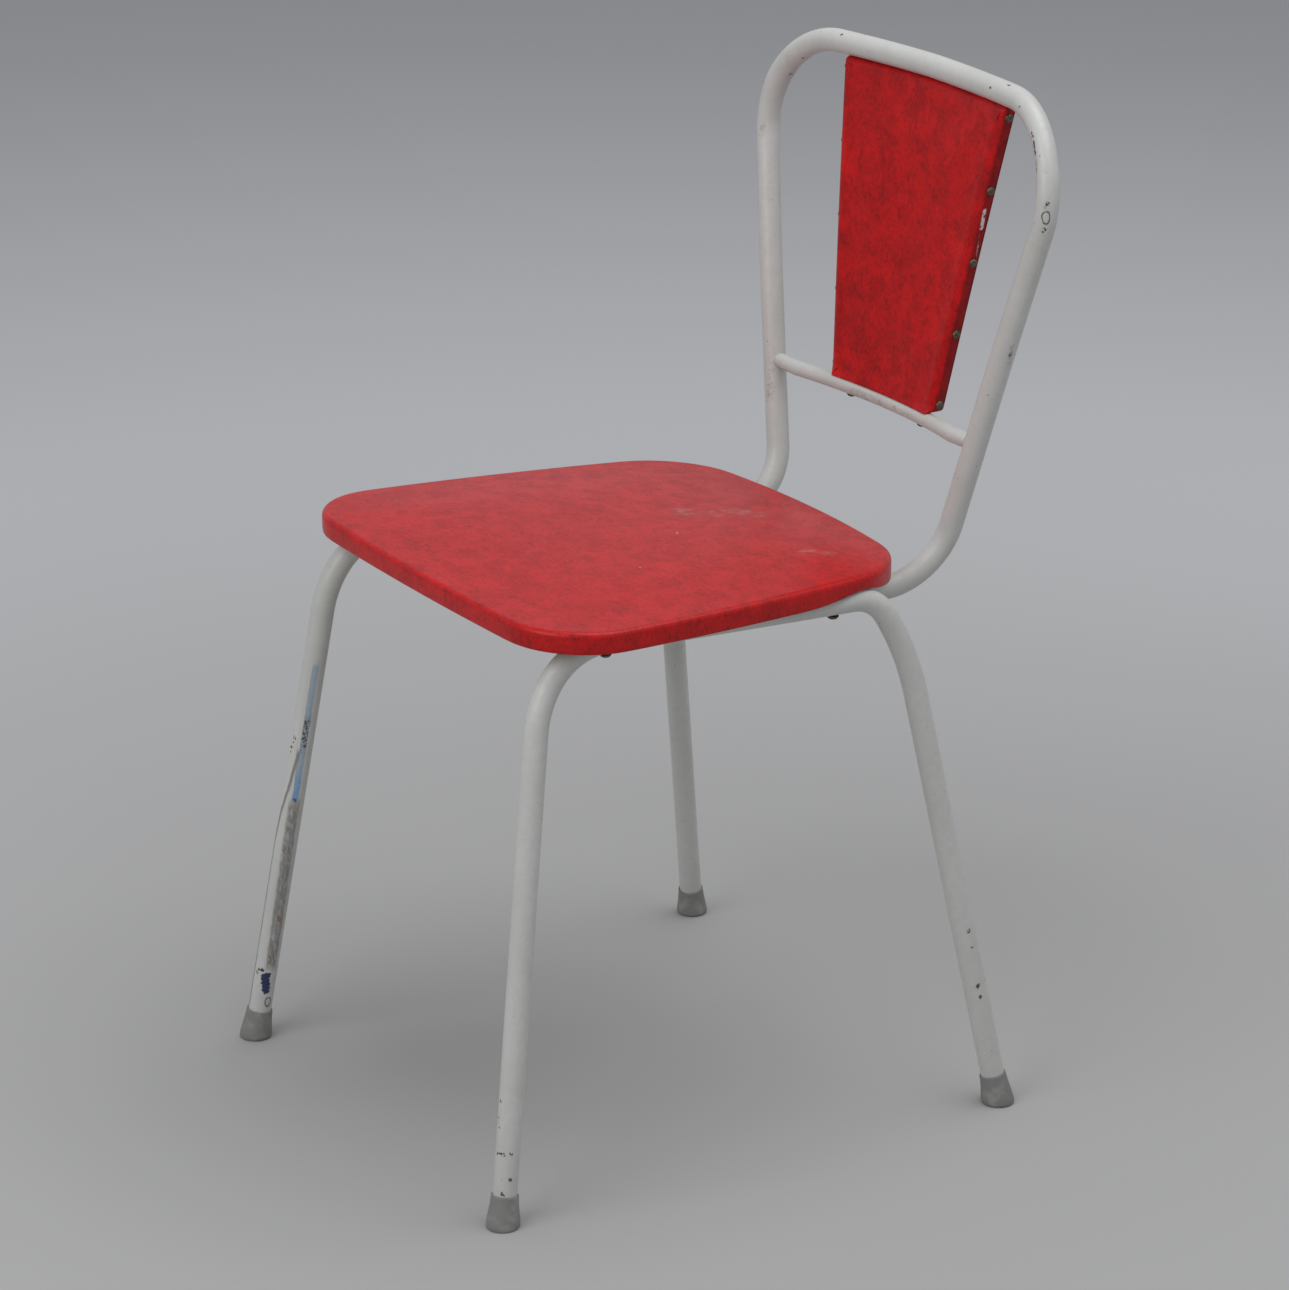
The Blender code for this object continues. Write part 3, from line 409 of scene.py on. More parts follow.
SCRAPE_BROWN, LINE_GREY, NAVY = (0.085, 0.055, 0.040), (0.175, 0.170, 0.160), (0.022, 0.030, 0.085)
TAIL_GREY, TAIL_BROWN = (0.225, 0.225, 0.215), (0.215, 0.172, 0.138)
SCRAPED_ROUGHNESS, SCRAPE_DEPTH = (0.62, 0.62, 0.62), 0.0004
NAVY_SPOTS = [
    ((-0.1998, -0.2717, 0.0597), 0.0040), ((-0.1990, -0.2705, 0.0535), 0.0044),
    ((-0.1996, -0.2700, 0.0480), 0.0042), ((-0.1983, -0.2690, 0.0620), 0.0034),
    ((-0.2012, -0.2727, 0.0671), 0.0020), ((-0.1988, -0.2700, 0.0575), 0.0036),
]
RIGHT_CHIPS = [
    ((-0.1835, -0.2433, 0.2831), 0.0017), ((-0.1862, -0.2450, 0.2743), 0.0019),
    ((-0.1846, -0.2441, 0.2788), 0.0012), ((-0.2047, -0.2749, 0.0643), 0.0018),
    ((-0.2035, -0.2740, 0.0668), 0.0014), ((-0.1826, -0.2454, 0.2262), 0.0018),
    ((-0.1850, -0.2440, 0.2850), 0.0010), ((-0.1842, -0.2436, 0.2750), 0.0011),
    ((-0.1858, -0.2448, 0.2790), 0.0010), ((-0.1870, -0.2456, 0.2700), 0.0011),
]
RIGHT_RINGS = [((-0.2003, -0.2683, 0.0358), 0.0036)]
print("scrape runs from", SCRAPE_TOP, "m down to", SCRAPE_FOOT, "m")

# %% [markdown]
# ## Drawing the scrape
#
# The leg leans, so its lean is taken off the coordinates before the angle round it is measured.
# Each part of the scrape is then a band in height times a band in angle, laid over the clean
# coat one after another. The chips of this leg come last.

# %% Drawing the scrape
def band(s, value, low, high, edge):
    """1 where the value lies between low and high, with soft edges."""
    rise = s.range(value, low - edge, low + edge)
    return s.times(rise, s.range(value, high - edge, high + edge, 1.0, 0.0))


def within(s, value, middle, half, full):
    """1 where the value is within a share of a half width of the middle, 0 beyond the half."""
    away = s.math('ABSOLUTE', s.math('SUBTRACT', value, middle))
    return s.range(away, half * full, half, 1.0, 0.0)


def old_blue_coat(s, height):
    """The older coat that shows through: blue, paler higher up, scuffed, and brown in one band."""
    colour = s.mix(s.range(height, PALE_FROM, PALE_TO), OLD_BLUE, OLD_BLUE_PALE)
    scuffed = s.cloud(260.0, 0.45, 0.62, roughness=0.7)
    colour = s.mix(s.times(scuffed, 0.35), colour, OLD_BLUE_SCUFFED)
    brown = s.cloud(520.0, 0.44, 0.56, roughness=0.7)
    brown = s.times(band(s, height, BROWN_LOW, BROWN_HIGH, 0.005), brown)
    return s.mix(brown, colour, SCRAPE_BROWN)


def scraped_enamel(name, foot, rail):
    s = Shader(name)
    colour, rough, wave = enamel_coat(s)
    x, y, height = s.add("SeparateXYZ", {0: wobble(s, 120.0, 0.0022)})
    lean = (rail - foot) / rail.z
    off_x = s.math('SUBTRACT', s.math('SUBTRACT', x, foot.x), s.times(height, lean.x))
    off_y = s.math('SUBTRACT', s.math('SUBTRACT', y, foot.y), s.times(height, lean.y))
    angle = s.math('ARCTAN2', off_y, off_x)
    middle = s.range(height, SCRAPE_FOOT, SCRAPE_TURN, SCRAPE_TAIL_ANGLE, SCRAPE_ANGLE)

    blue = s.times(within(s, angle, middle, SCRAPE_HALF, 0.8),
                   band(s, height, SCRAPE_TURN, SCRAPE_TOP, 0.0025))
    colour = s.mix(blue, colour, old_blue_coat(s, height))

    tail = s.times(within(s, angle, middle, TAIL_HALF, 0.55),
                   band(s, height, SCRAPE_FOOT, SCRAPE_TURN, 0.006))
    smear = s.cloud(420.0, 0.34, 0.58, 0.30, 1.0, roughness=0.75, distortion=0.6,
                    vector=s.stretch((1.0, 1.0, 0.30)))
    tail = s.times(tail, smear)
    rusty = s.cloud(95.0, 0.50, 0.62, detail=3.0, roughness=0.6)
    colour = s.mix(tail, colour, s.mix(rusty, TAIL_GREY, TAIL_BROWN))

    line_middle = s.range(height, LINE_LOW, LINE_HIGH, LINE_LOW_ANGLE, LINE_HIGH_ANGLE)
    line = s.times(within(s, angle, line_middle, LINE_HALF, 0.4),
                   band(s, height, LINE_FOOT, LINE_HIGH, 0.004))
    colour = s.mix(s.times(line, 0.85), colour, LINE_GREY)

    navy = spots(s, wobble(s, CHIP_RAGGED_SCALE, CHIP_RAGGED), NAVY_SPOTS)
    colour = s.mix(navy, colour, NAVY)
    worn = s.math('MAXIMUM', blue, tail)
    rough = s.mix(worn, rough, SCRAPED_ROUGHNESS)
    coat_left = s.math('SUBTRACT', 1.0, s.math('MAXIMUM', worn, navy))
    wave = s.bump(coat_left, SCRAPE_DEPTH, 0.8, wave)
    return chipped(s, colour, rough, wave, RIGHT_CHIPS, rings=RIGHT_RINGS)


def across(point):
    """The same place on the chair's other side."""
    return Vector((-point.x, point.y, point.z))


right_enamel = scraped_enamel("right_frame_enamel", across(FOOT_FRONT), across(RAIL_FRONT))
print("made", right_enamel.name)

# %% [markdown]
# ## Red vinyl
#
# The cloth-backed vinyl is bright red printed with a fine black marbling: dense specks that
# gather in darker drifts. Two noises make the drifts, a stretched fine one the marbling, and
# the finest one the grain. The seat and the back were cut from the same roll, so one function
# makes both, with a slightly different red and shine for each.

# %% Vinyl
DULL_RED, DEEP_RED = (0.440, 0.0070, 0.0080), (0.280, 0.0060, 0.0070)
BLACK_RED = (0.090, 0.0050, 0.0060)
MARBLING, GRAIN = 0.48, 0.26


def vinyl(name, stretch, bright, shine, drifting):
    """Start a vinyl. Gives the shader, the colour so far, the roughness and the surface."""
    s = Shader(name)
    drift = s.cloud(48.0, 0.38, 0.64, detail=7.0, roughness=0.74, distortion=0.4)
    patch = s.cloud(8.0, 0.38, 0.62, detail=5.0, roughness=0.66)
    marbling = s.cloud(400.0, 0.495, 0.60, detail=5.0, roughness=0.76, distortion=0.5,
                       vector=s.stretch(stretch))
    grain = s.cloud(1150.0, 0.50, 0.64, detail=3.0, roughness=0.65)
    dark = s.math('ADD', s.times(marbling, MARBLING), s.times(grain, GRAIN))
    dark = s.math('MULTIPLY', dark, s.range(drift, 0.0, 1.0, 0.66, 1.0), clamp=True)
    red = s.mix(s.times(patch, drifting), bright, DULL_RED)
    red = s.mix(s.times(drift, drifting), red, DEEP_RED)
    rough = s.range(drift, 0.0, 1.0, 0.32, 0.36)
    pebble = s.bump(s.noise(820.0, 2.0, 0.5), 0.0002, 0.30)
    soft = s.bump(s.noise(38.0, 2.0, 0.5), 0.0010, 0.12, pebble)
    s.surface.inputs["Specular IOR Level"].default_value = shine
    return s, s.mix(dark, red, BLACK_RED), rough, soft


print("vinyl ready")

# %% [markdown]
# ## Seat vinyl
#
# Sitting rubbed the seat pale in a few places near its rear edge, and a little lint sticks to
# it. The rubs are wide streaks broken up by a stretched noise, so that they look wiped on.

# %% Seat vinyl
SEAT_RED, SEAT_SHINE, SEAT_DRIFT = (0.525, 0.0080, 0.0080), 0.22, 0.42
RUBBED, LINT = (0.34, 0.22, 0.20), (0.55, 0.45, 0.42)
SEAT_SCUFFS = [((-0.0180, 0.0400, 0.481), (-0.0010, 0.0680, 0.480), 0.017),
               ((-0.0030, 0.0800, 0.479), (0.0100, 0.1000, 0.478), 0.014),
               ((0.1140, 0.0740, 0.478), (0.1260, 0.0930, 0.477), 0.012)]
SEAT_LINT = [((0.0330, 0.0050, 0.4855), 0.0013), ((-0.0150, 0.1000, 0.480), 0.0011),
             ((0.0950, -0.0700, 0.487), 0.0010)]

s, colour, rough, soft = vinyl("seat_red_vinyl", (0.55, 1.0, 0.6), SEAT_RED, SEAT_SHINE, SEAT_DRIFT)
for start, end, radius in SEAT_SCUFFS:
    haze = s.cloud(190.0, 0.44, 0.68, detail=5.0, roughness=0.72, distortion=0.4,
                   vector=s.stretch((1.0, 0.35, 1.0)))
    rub = s.times(streak(s, wobble(s, 70.0, 0.012), start, end, radius, 0.95), haze)
    colour = s.mix(s.times(rub, 0.60), colour, RUBBED)
colour = s.mix(spots(s, wobble(s, 500.0, 0.0012), SEAT_LINT), colour, LINT)
seat_vinyl = s.finish(Base_Color=colour, Roughness=rough, Normal=soft)
print("made", seat_vinyl.name)

# %% [markdown]
# ## Back vinyl
#
# The back's two rolled side edges are darkened in patches, a painted shade where they turn
# away from the light. One edge is worn through to the pale cloth, and there is one small nick in
# the front.

# %% Back vinyl
PAD_RED, PAD_SHINE, PAD_DRIFT = (0.590, 0.0080, 0.0080), 0.16, 0.62
EDGE_SHADE_RED, PALE_CLOTH, NICK = (0.110, 0.006, 0.008), (0.74, 0.66, 0.66), (0.03, 0.01, 0.01)
PAD_EDGE_LOW, PAD_EDGE_HIGH = Vector((0.0757, 0.2387, 0.5620)), Vector((0.1162, 0.2763, 0.8260))
PAD_EDGE_WEAR = [((0.1020, 0.2610, 0.7390), (0.0996, 0.2598, 0.7240), 0.0024),
                 ((0.0976, 0.2590, 0.7180), (0.0952, 0.2579, 0.7000), 0.0018)]
PAD_NICK = [((0.0539, 0.2569, 0.7253), 0.0016)]

s, colour, rough, soft = vinyl("back_red_vinyl", (1.0, 1.0, 0.70), PAD_RED, PAD_SHINE, PAD_DRIFT)
# Painted shade: both side edges are darkened in patches where they roll away from the light.
shade_patches = s.cloud(150.0, 0.30, 0.60, 0.55, 1.0, roughness=0.7)
for low, high in ((PAD_EDGE_LOW, PAD_EDGE_HIGH), (across(PAD_EDGE_LOW), across(PAD_EDGE_HIGH))):
    edge_shade = s.times(streak(s, s.place, low, high, 0.0066, 0.45), shade_patches)
    colour = s.mix(s.times(edge_shade, 0.62), colour, EDGE_SHADE_RED)
torn = s.cloud(420.0, 0.34, 0.46, detail=3.0, roughness=0.6)
for start, end, radius in PAD_EDGE_WEAR:
    worn = s.times(streak(s, wobble(s, 160.0, 0.0018), start, end, radius), torn)
    colour = s.mix(s.times(worn, 0.9), colour, PALE_CLOTH)
colour = s.mix(spots(s, wobble(s, 500.0, 0.002), PAD_NICK), colour, NICK)
pad_vinyl = s.finish(Base_Color=colour, Roughness=rough, Normal=soft)
print("made", pad_vinyl.name)

# %% [markdown]
# ## Rubber, dull metal, plywood
#
# The feet are grey rubber, scuffed paler on their flare. The tack and screw heads were bright
# once and have gone a brownish grey. The underside of the seat board is bare plywood.

# %% Small finishes
def rubber(name, grey, scuffed):
    s = Shader(name)
    colour = s.mix(s.cloud(70.0, 0.45, 0.70, roughness=0.6), grey, scuffed)
    normal = s.bump(s.noise(420.0, 3.0, 0.6), 0.0003, 0.4)
    return s.finish(Base_Color=colour, Roughness=0.62, Normal=normal)


def dull_metal(name, bright, dark):
    s = Shader(name)
    stain = s.cloud(900.0, 0.40, 0.65, detail=3.0, roughness=0.6)
    rough = s.range(stain, 0.0, 1.0, 0.38, 0.60)
    return s.finish(Base_Color=s.mix(stain, bright, dark), Roughness=rough, Metallic=0.85)


def plywood(name, pale, dark):
    s = Shader(name)
    grain = s.cloud(260.0, 0.35, 0.70, detail=5.0, roughness=0.6, distortion=0.8,
                    vector=s.stretch((1.0, 0.06, 1.0)))
    normal = s.bump(grain, 0.0003, 0.4)
    return s.finish(Base_Color=s.mix(grain, pale, dark), Roughness=0.75, Normal=normal)


grey_rubber = rubber("grey_rubber", (0.190, 0.188, 0.180), (0.265, 0.262, 0.250))
bronze = dull_metal("dull_bronze", (0.165, 0.150, 0.105), (0.050, 0.044, 0.033))
steel = dull_metal("dull_steel", (0.30, 0.29, 0.27), (0.12, 0.11, 0.10))
bare_plywood = plywood("bare_plywood", (0.47, 0.31, 0.17), (0.30, 0.18, 0.09))
print("made", grey_rubber.name, bronze.name, steel.name, bare_plywood.name)

# %% [markdown]
# ## Bending tube
#
# The real frames are cut from straight tube and bent round formers. The same steps work with
# bmesh: a circle of edges is extruded for each straight run and spun about the former's centre
# for each bend, so the wall never creases. Corners give the run, radii give the formers.

# %% Tube bending
TUBE_SIDES = 36
BEND_STEP = math.radians(4.0)
RUN_STEP = 0.014
MOST_OF_RUN = 0.98


def corner_arcs(points, radii):
    """For each inner corner: where the bend starts, its centre, axis and angle, and its end."""
    corners = len(points) - 2
    ways = [(b - a).normalized() for a, b in zip(points[:-1], points[1:])]
    turns = [before.angle(after) for before, after in zip(ways[:-1], ways[1:])]
    reach = [radius * math.tan(turn / 2.0) for radius, turn in zip(radii, turns)]
    for i in range(corners + 1):
        length = (points[i + 1] - points[i]).length * MOST_OF_RUN
        ends = [k for k in (i - 1, i) if 0 <= k < corners]
        total = sum(reach[k] for k in ends)
        if total > length:
            for k in ends:
                reach[k] *= length / total
    arcs = []
    for i, (before, after) in enumerate(zip(ways[:-1], ways[1:])):
        radius = reach[i] / math.tan(turns[i] / 2.0)
        axis = before.cross(after).normalized()
        start = points[i + 1] - before * reach[i]
        centre = start + axis.cross(before) * radius
        arcs.append((start, centre, axis, turns[i], points[i + 1] + after * reach[i]))
    return arcs


def run_on(bm, ring, step):
    """Extrude the open ring along a straight step and return its new edges."""
    made = bmesh.ops.extrude_edge_only(bm, edges=ring)["geom"]
    verts = {g for g in made if isinstance(g, bmesh.types.BMVert)}
    bmesh.ops.translate(bm, verts=list(verts), vec=step)
    return [g for g in made if isinstance(g, bmesh.types.BMEdge) and set(g.verts) <= verts]


def bend_on(bm, ring, centre, axis, angle):
    """Spin the open ring round a former and return its new edges."""
    steps = max(2, math.ceil(angle / BEND_STEP))
    made = bmesh.ops.spin(bm, geom=ring, cent=centre, axis=axis, angle=angle, steps=steps)
    return [g for g in made["geom_last"] if isinstance(g, bmesh.types.BMEdge)]


def bent_tube(points, radii, tube_radius):
    """A closed bmesh of a tube run through corner points."""
    bm = bmesh.new()
    heading = (points[1] - points[0]).normalized()
    place = Matrix.Translation(points[0]) @ heading.to_track_quat('Z', 'Y').to_matrix().to_4x4()
    made = bmesh.ops.create_circle(bm, segments=TUBE_SIDES, radius=tube_radius, matrix=place)
    ring = list({edge for vert in made["verts"] for edge in vert.link_edges})
    here = points[0]
    last_run = (points[-1], None, None, None, None)
    for start, centre, axis, angle, end in corner_arcs(points, radii) + [last_run]:
        pieces = max(1, math.ceil((start - here).length / RUN_STEP))
        for _ in range(pieces):
            ring = run_on(bm, ring, (start - here) / pieces)
        if centre is not None:
            ring = bend_on(bm, ring, centre, axis, angle)
            here = end
    bmesh.ops.holes_fill(bm, edges=[e for e in bm.edges if e.is_boundary], sides=0)
    bmesh.ops.recalc_face_normals(bm, faces=bm.faces)
    return bm


print("tube helpers ready")

# %% [markdown]
# ## Leg frames
#
# Each side is one inverted U: front leg, rail and rear leg in a single tube. The legs splay
# outwards and away from each other, so a second, gentler bend just below the rail turns them.

# %% Leg frames
front_axis = (RAIL_FRONT - FOOT_FRONT).normalized()
rear_axis = (RAIL_REAR - FOOT_REAR).normalized()
along_rail = (RAIL_REAR - RAIL_FRONT).normalized()
frame_corners = [
    FOOT_FRONT + front_axis * TUBE_START,
    RAIL_FRONT.lerp(FOOT_FRONT, FRONT_KNEE_SHARE),
    RAIL_FRONT + along_rail * FRONT_BEND_SETBACK,
    RAIL_REAR - along_rail * REAR_BEND_SETBACK,
    RAIL_REAR.lerp(FOOT_REAR, REAR_KNEE_SHARE),
    FOOT_REAR + rear_axis * TUBE_START,
]
frame_radii = [FRONT_KNEE_RADIUS, FRONT_BEND_RADIUS, REAR_BEND_RADIUS, REAR_KNEE_RADIUS]


def mirrored(points):
    return [across(point) for point in points]


for side, corners, coat in (("left", frame_corners, left_enamel),
                            ("right", mirrored(frame_corners), right_enamel)):
    make_piece(side + "_frame_tube", bent_tube(corners, frame_radii, TUBE_RADIUS),
               coat, side + "_leg_frame")

# %% [markdown]
# ## Back hoop
#
# One tube makes the whole back. Its ends run forward under the cross tubes, it turns up behind
# the seat, leans out and back, and closes over the top. The top is rolled backwards for the
# sitter's shoulders, so after bending, everything above the corners is pushed back by a bow.

# %% Back hoop
TUBE_WALL, BORE_DEPTH = 0.0015, 0.030
run_slope = (RAIL_FRONT.z - RAIL_REAR.z) / (RAIL_REAR.y - RAIL_FRONT.y)
run_drop = CROSS_TUBE_RADIUS + TUBE_RADIUS + GAP
HOOP_FOOT.z = rail_line(CROSS_TUBE_Y["rear"]).z - run_drop
HOOP_FOOT.z -= run_slope * (HOOP_FOOT.y - CROSS_TUBE_Y["rear"])
ahead = HOOP_FOOT.y - HOOP_RUN_END_Y
run_end = HOOP_FOOT + Vector((HOOP_SPLAY, -1.0, run_slope)) * ahead
side_middle = HOOP_FOOT.lerp(HOOP_CORNER, 0.5) - Vector((0.0, HOOP_SIDE_BOW, 0.0))
half_corners = [run_end, HOOP_FOOT, side_middle, HOOP_CORNER]
hoop_corners = half_corners + mirrored(half_corners)[::-1]
half_radii = [HOOP_FOOT_RADIUS, HOOP_SIDE_RADIUS, HOOP_CORNER_RADIUS]
hoop_arcs = corner_arcs(hoop_corners, half_radii + half_radii[::-1])
bow_start = hoop_arcs[2][0]


def bow_back(point):
    """Roll the hoop's top backwards, most in the middle, and lift it a little there."""
    if point.z > bow_start.z:
        share = max(0.0, 1.0 - (point.x / bow_start.x) ** 2)
        point.y += HOOP_TOP_BOW * share
        point.z += HOOP_TOP_RISE * max(0.0, 1.0 - abs(point.x) / HOOP_CORNER.x)
    return point


def hollow_ends(bm, wall, depth):
    """Sink a bore into each flat end of a tube."""
    for cap in [face for face in bm.faces if len(face.verts) > 4]:
        inward = -cap.normal.normalized()
        bmesh.ops.inset_region(bm, faces=[cap], thickness=wall)
        made = bmesh.ops.extrude_face_region(bm, geom=[cap])["geom"]
        bmesh.ops.delete(bm, geom=[cap], context="FACES_ONLY")
        verts = [part for part in made if isinstance(part, bmesh.types.BMVert)]
        bmesh.ops.translate(bm, verts=verts, vec=inward * depth)


hoop_bm = bent_tube(hoop_corners, half_radii + half_radii[::-1], TUBE_RADIUS)
hollow_ends(hoop_bm, TUBE_WALL, BORE_DEPTH)
for vert in hoop_bm.verts:
    vert.co = bow_back(vert.co.copy())
make_piece("back_hoop_tube", hoop_bm, hoop_enamel, "back_hoop")


def hoop_top(x):
    """Centre of the top tube at a given x, inside the corners."""
    return bow_back(Vector((abs(x), HOOP_CORNER.y, HOOP_CORNER.z)))


# %% [markdown]
# ## Crossbar and hidden tubes
#
# The crossbar is thinner than the main tube. It is bowed like the top and welded to the front of
# the uprights, where its rounded ends show. A straight closed tube with bevelled ends is pushed
# back by the same kind of bow, and its last stretch is tucked back against the uprights. Two
# short straight tubes tie the rails together under the seat.

# %% Crossbar
BAR_END_ROUND, BAR_END_CUTS = 0.0042, 5
BAR_END_TRIM, BAR_END_TUCK, BAR_TUCK_RUN = 0.0045, 0.0055, 0.028
WELD_BITE = 0.0015

bar_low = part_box("back_crossbar")[0]
upright_share = (BAR_HEIGHT - HOOP_FOOT.z) / (HOOP_CORNER.z - HOOP_FOOT.z)
bar_reach = HOOP_FOOT.lerp(HOOP_CORNER, upright_share).x - BAR_END_INSET


def bar_point(x):
    """Centre of the crossbar at a given x."""
    share = 1.0 - (x / bar_reach) ** 2
    y = bar_low.y + BAR_RADIUS + BAR_BOW * share
    return Vector((x, y, BAR_HEIGHT - BAR_SAG * share))


def smooth_step(low, high, value):
    """0 up to low, 1 from high on, and an even curve between them."""
    share = max(0.0, min(1.0, (value - low) / (high - low)))
    return share * share * (3.0 - 2.0 * share)


def straight_tube(half_length, radius):
    """A closed bmesh of a tube along X, centred on the origin."""
    end = Vector((half_length, 0.0, 0.0))
    return bent_tube([end, -end], [], radius)


bar_half = bar_reach - BAR_END_TRIM
bar_bm = straight_tube(bar_half, BAR_RADIUS)
bar_ends = [e for e in bar_bm.edges if all(abs(v.co.x) > bar_half - GAP for v in e.verts)]
bmesh.ops.bevel(bar_bm, geom=bar_ends, offset=BAR_END_ROUND, affect='EDGES',
                segments=BAR_END_CUTS, profile=0.5, material=-1)
for vert in bar_bm.verts:
    tuck = BAR_END_TUCK * smooth_step(bar_half - BAR_TUCK_RUN, bar_half, abs(vert.co.x))
    vert.co = bar_point(vert.co.x) + Vector((0.0, vert.co.y + tuck, vert.co.z))
make_piece("back_bar_tube", bar_bm, bar_enamel, "back_crossbar")

for end, cross_y in CROSS_TUBE_Y.items():
    middle = rail_line(cross_y)
    tie_bm = straight_tube(middle.x - TUBE_RADIUS + WELD_BITE, CROSS_TUBE_RADIUS)
    bmesh.ops.translate(tie_bm, verts=tie_bm.verts, vec=(0.0, cross_y, middle.z))
    make_piece(end + "_tie_tube", tie_bm, bar_enamel, end + "_cross_tube")

# %% [markdown]
# ## Seat outline
#
# A seat maker starts from a board cut to shape. The plan is four points whose corners are
# bevelled round, and whose long edges are divided and bowed outwards, the rear one the most.

# %% Seat outline
CORNER_CUTS, EDGE_CUTS = 10, 26
SEAT_MIDDLE_Y, SIDE_BOW_FROM = SEAT_FRONT_Y + SEAT_DEPTH / 2.0, 0.5


def seat_plan():
    """A bmesh with one flat face in the shape of the seat's plan."""
    bm = bmesh.new()
    rear_y = SEAT_FRONT_Y + SEAT_DEPTH
    spots = ((-SEAT_FRONT_HALF, SEAT_FRONT_Y), (SEAT_FRONT_HALF, SEAT_FRONT_Y),
             (SEAT_REAR_HALF, rear_y), (-SEAT_REAR_HALF, rear_y))
    verts = [bm.verts.new((x, y, 0.0)) for x, y in spots]
    bm.faces.new(verts)
    side_lean = math.atan((SEAT_FRONT_HALF - SEAT_REAR_HALF) / SEAT_DEPTH)
    for pair, radius, lean in ((verts[:2], SEAT_FRONT_CORNER, side_lean),
                               (verts[2:], SEAT_REAR_CORNER, -side_lean)):
        reach = radius / math.tan((math.pi / 2.0 - lean) / 2.0)
        bmesh.ops.bevel(bm, geom=pair, offset=reach, offset_type='OFFSET', affect='VERTICES',
                        segments=CORNER_CUTS, profile=0.5, material=-1)
    long_edges = [e for e in bm.edges if e.calc_length() > SEAT_FRONT_CORNER]
    bmesh.ops.subdivide_edges(bm, edges=long_edges, cuts=EDGE_CUTS)
    for vert in bm.verts:
        vert.co.x, vert.co.y = bow_seat(vert.co.x, vert.co.y)
    return bm


def bow_seat(x, y):
    """Bow the straight edges of the outline outwards."""
    along = max(-1.0, min(1.0, (y - SEAT_MIDDLE_Y) / (SEAT_DEPTH / 2.0)))
    half = SEAT_FRONT_HALF if along < 0.0 else SEAT_REAR_HALF
    inner = max(0.0, 1.0 - (x / half) ** 2)
    side = min(1.0, abs(x) / (SIDE_BOW_FROM * half)) * math.copysign(1.0, x)
    out_x = x + side * SEAT_SIDE_BOW * (1.0 - along ** 2)
    out_y = y - SEAT_FRONT_BOW * inner * max(0.0, -along)
    return out_x, out_y + SEAT_REAR_BOW * inner * max(0.0, along)


def outward(points):
    """Outward direction at each point of a closed outline that runs counter-clockwise."""
    following = points[1:] + points[:1]
    runs = [(b - a).normalized() for a, b in zip(points[-1:] + points[:-1], following)]
    return [Vector((run.y, -run.x, 0.0)).normalized() for run in runs]


seat_bm = seat_plan()
seat_base = seat_bm.faces[:][0]
outline = [vert.co.copy() for vert in seat_base.verts]
outline_out = outward(outline)
print("seat outline points:", len(outline))

# %% [markdown]
# ## Building a pad from rings
#
# Both pads are made the same way. The plan face is extruded again and again, and each new cap
# is set inwards and up to the next ring of the pad's profile: recess, rim, side, rolled edge.
# The last cap is then cut into an even grid, because cloth needs cells of one size to swell. It
# laps a little way in past the roll, so that the grid's cuts stay clear of it.

# %% Pad helpers
ROLL_STEPS = 5
CAP_LAP = 0.0030
X_AXIS, Y_AXIS, Z_AXIS = Vector((1.0, 0.0, 0.0)), Vector((0.0, 1.0, 0.0)), Vector((0.0, 0.0, 1.0))


def stack_rings(bm, base, rings):
    """Extrude the base face through rings of points. The base stays as the bottom."""
    cap = base
    for ring in rings:
        made = bmesh.ops.extrude_face_region(bm, geom=[cap])["geom"]
        if cap is not base:
            bmesh.ops.delete(bm, geom=[cap], context="FACES_ONLY")
        cap = next(part for part in made if isinstance(part, bmesh.types.BMFace))
        for vert, place in zip(cap.verts, ring):
            vert.co = place
    return cap


def grid_cut(bm, face, step):
    """Cut one flat face into an even grid."""
    region = [face] + list(face.edges) + list(face.verts)
    corners = [vert.co.copy() for vert in face.verts]
    for normal in (X_AXIS, Y_AXIS):
        reach = [corner.dot(normal) for corner in corners]
        low, high = min(reach), max(reach)
        cells = round((high - low) / step)
        for k in range(1, cells):
            spot = normal * (low + (high - low) * k / cells)
            region = bmesh.ops.bisect_plane(bm, geom=region, dist=GAP / 2.0, plane_co=spot,
                                            plane_no=normal)["geom"]


def roll_profile(roll, top, reach=None):
    """(inset, height) pairs of a rolled edge, round or drawn out, that ends at a given height."""
    reach = roll if reach is None else reach
    angles = [math.pi / 2.0 * k / ROLL_STEPS for k in range(ROLL_STEPS + 1)]
    return [(reach * (1.0 - math.cos(a)), top - roll + roll * math.sin(a)) for a in angles]


def edge_distance(point, points):
    """Distance in plan from a point to a closed outline."""
    flat = Vector((point.x, point.y, 0.0))
    best = 1.0
    for a, b in zip(points, points[1:] + points[:1]):
        run = b - a
        share = max(0.0, min(1.0, (flat - a).dot(run) / run.length_squared))
        best = min(best, (flat - a - run * share).length)
    return best


print("pad helpers ready")

# %% [markdown]
# ## The seat's lower rim
#
# The seat is a thin board with firm wadding, and the vinyl is drawn down over its edge to a
# narrow flap, which hangs a little lower at the rear. The flap lifts where it lies over the
# bent leg tubes, so the height of the lower rim is found from the tubes, point by point, and
# is then eased along the edge as cloth would ease itself.

# %% Seat rim
BOARD_INSET = 0.0047
RIM_INSETS = (0.0, 0.0012, 0.0024, 0.0036, BOARD_INSET)
RIM_PASSES, RIM_REAR_DROP, RIM_DROP_BY_Y, RIM_CLEARANCE = 5, 0.0020, 0.12, 4.0 * GAP
BEND_SAMPLES = 8

rail_points = []
for start, centre, axis, angle, end in corner_arcs(frame_corners, frame_radii)[1:3]:
    for k in range(BEND_SAMPLES + 1):
        turn = Matrix.Rotation(angle * k / BEND_SAMPLES, 3, axis)
        rail_points.append(centre + turn @ (start - centre))


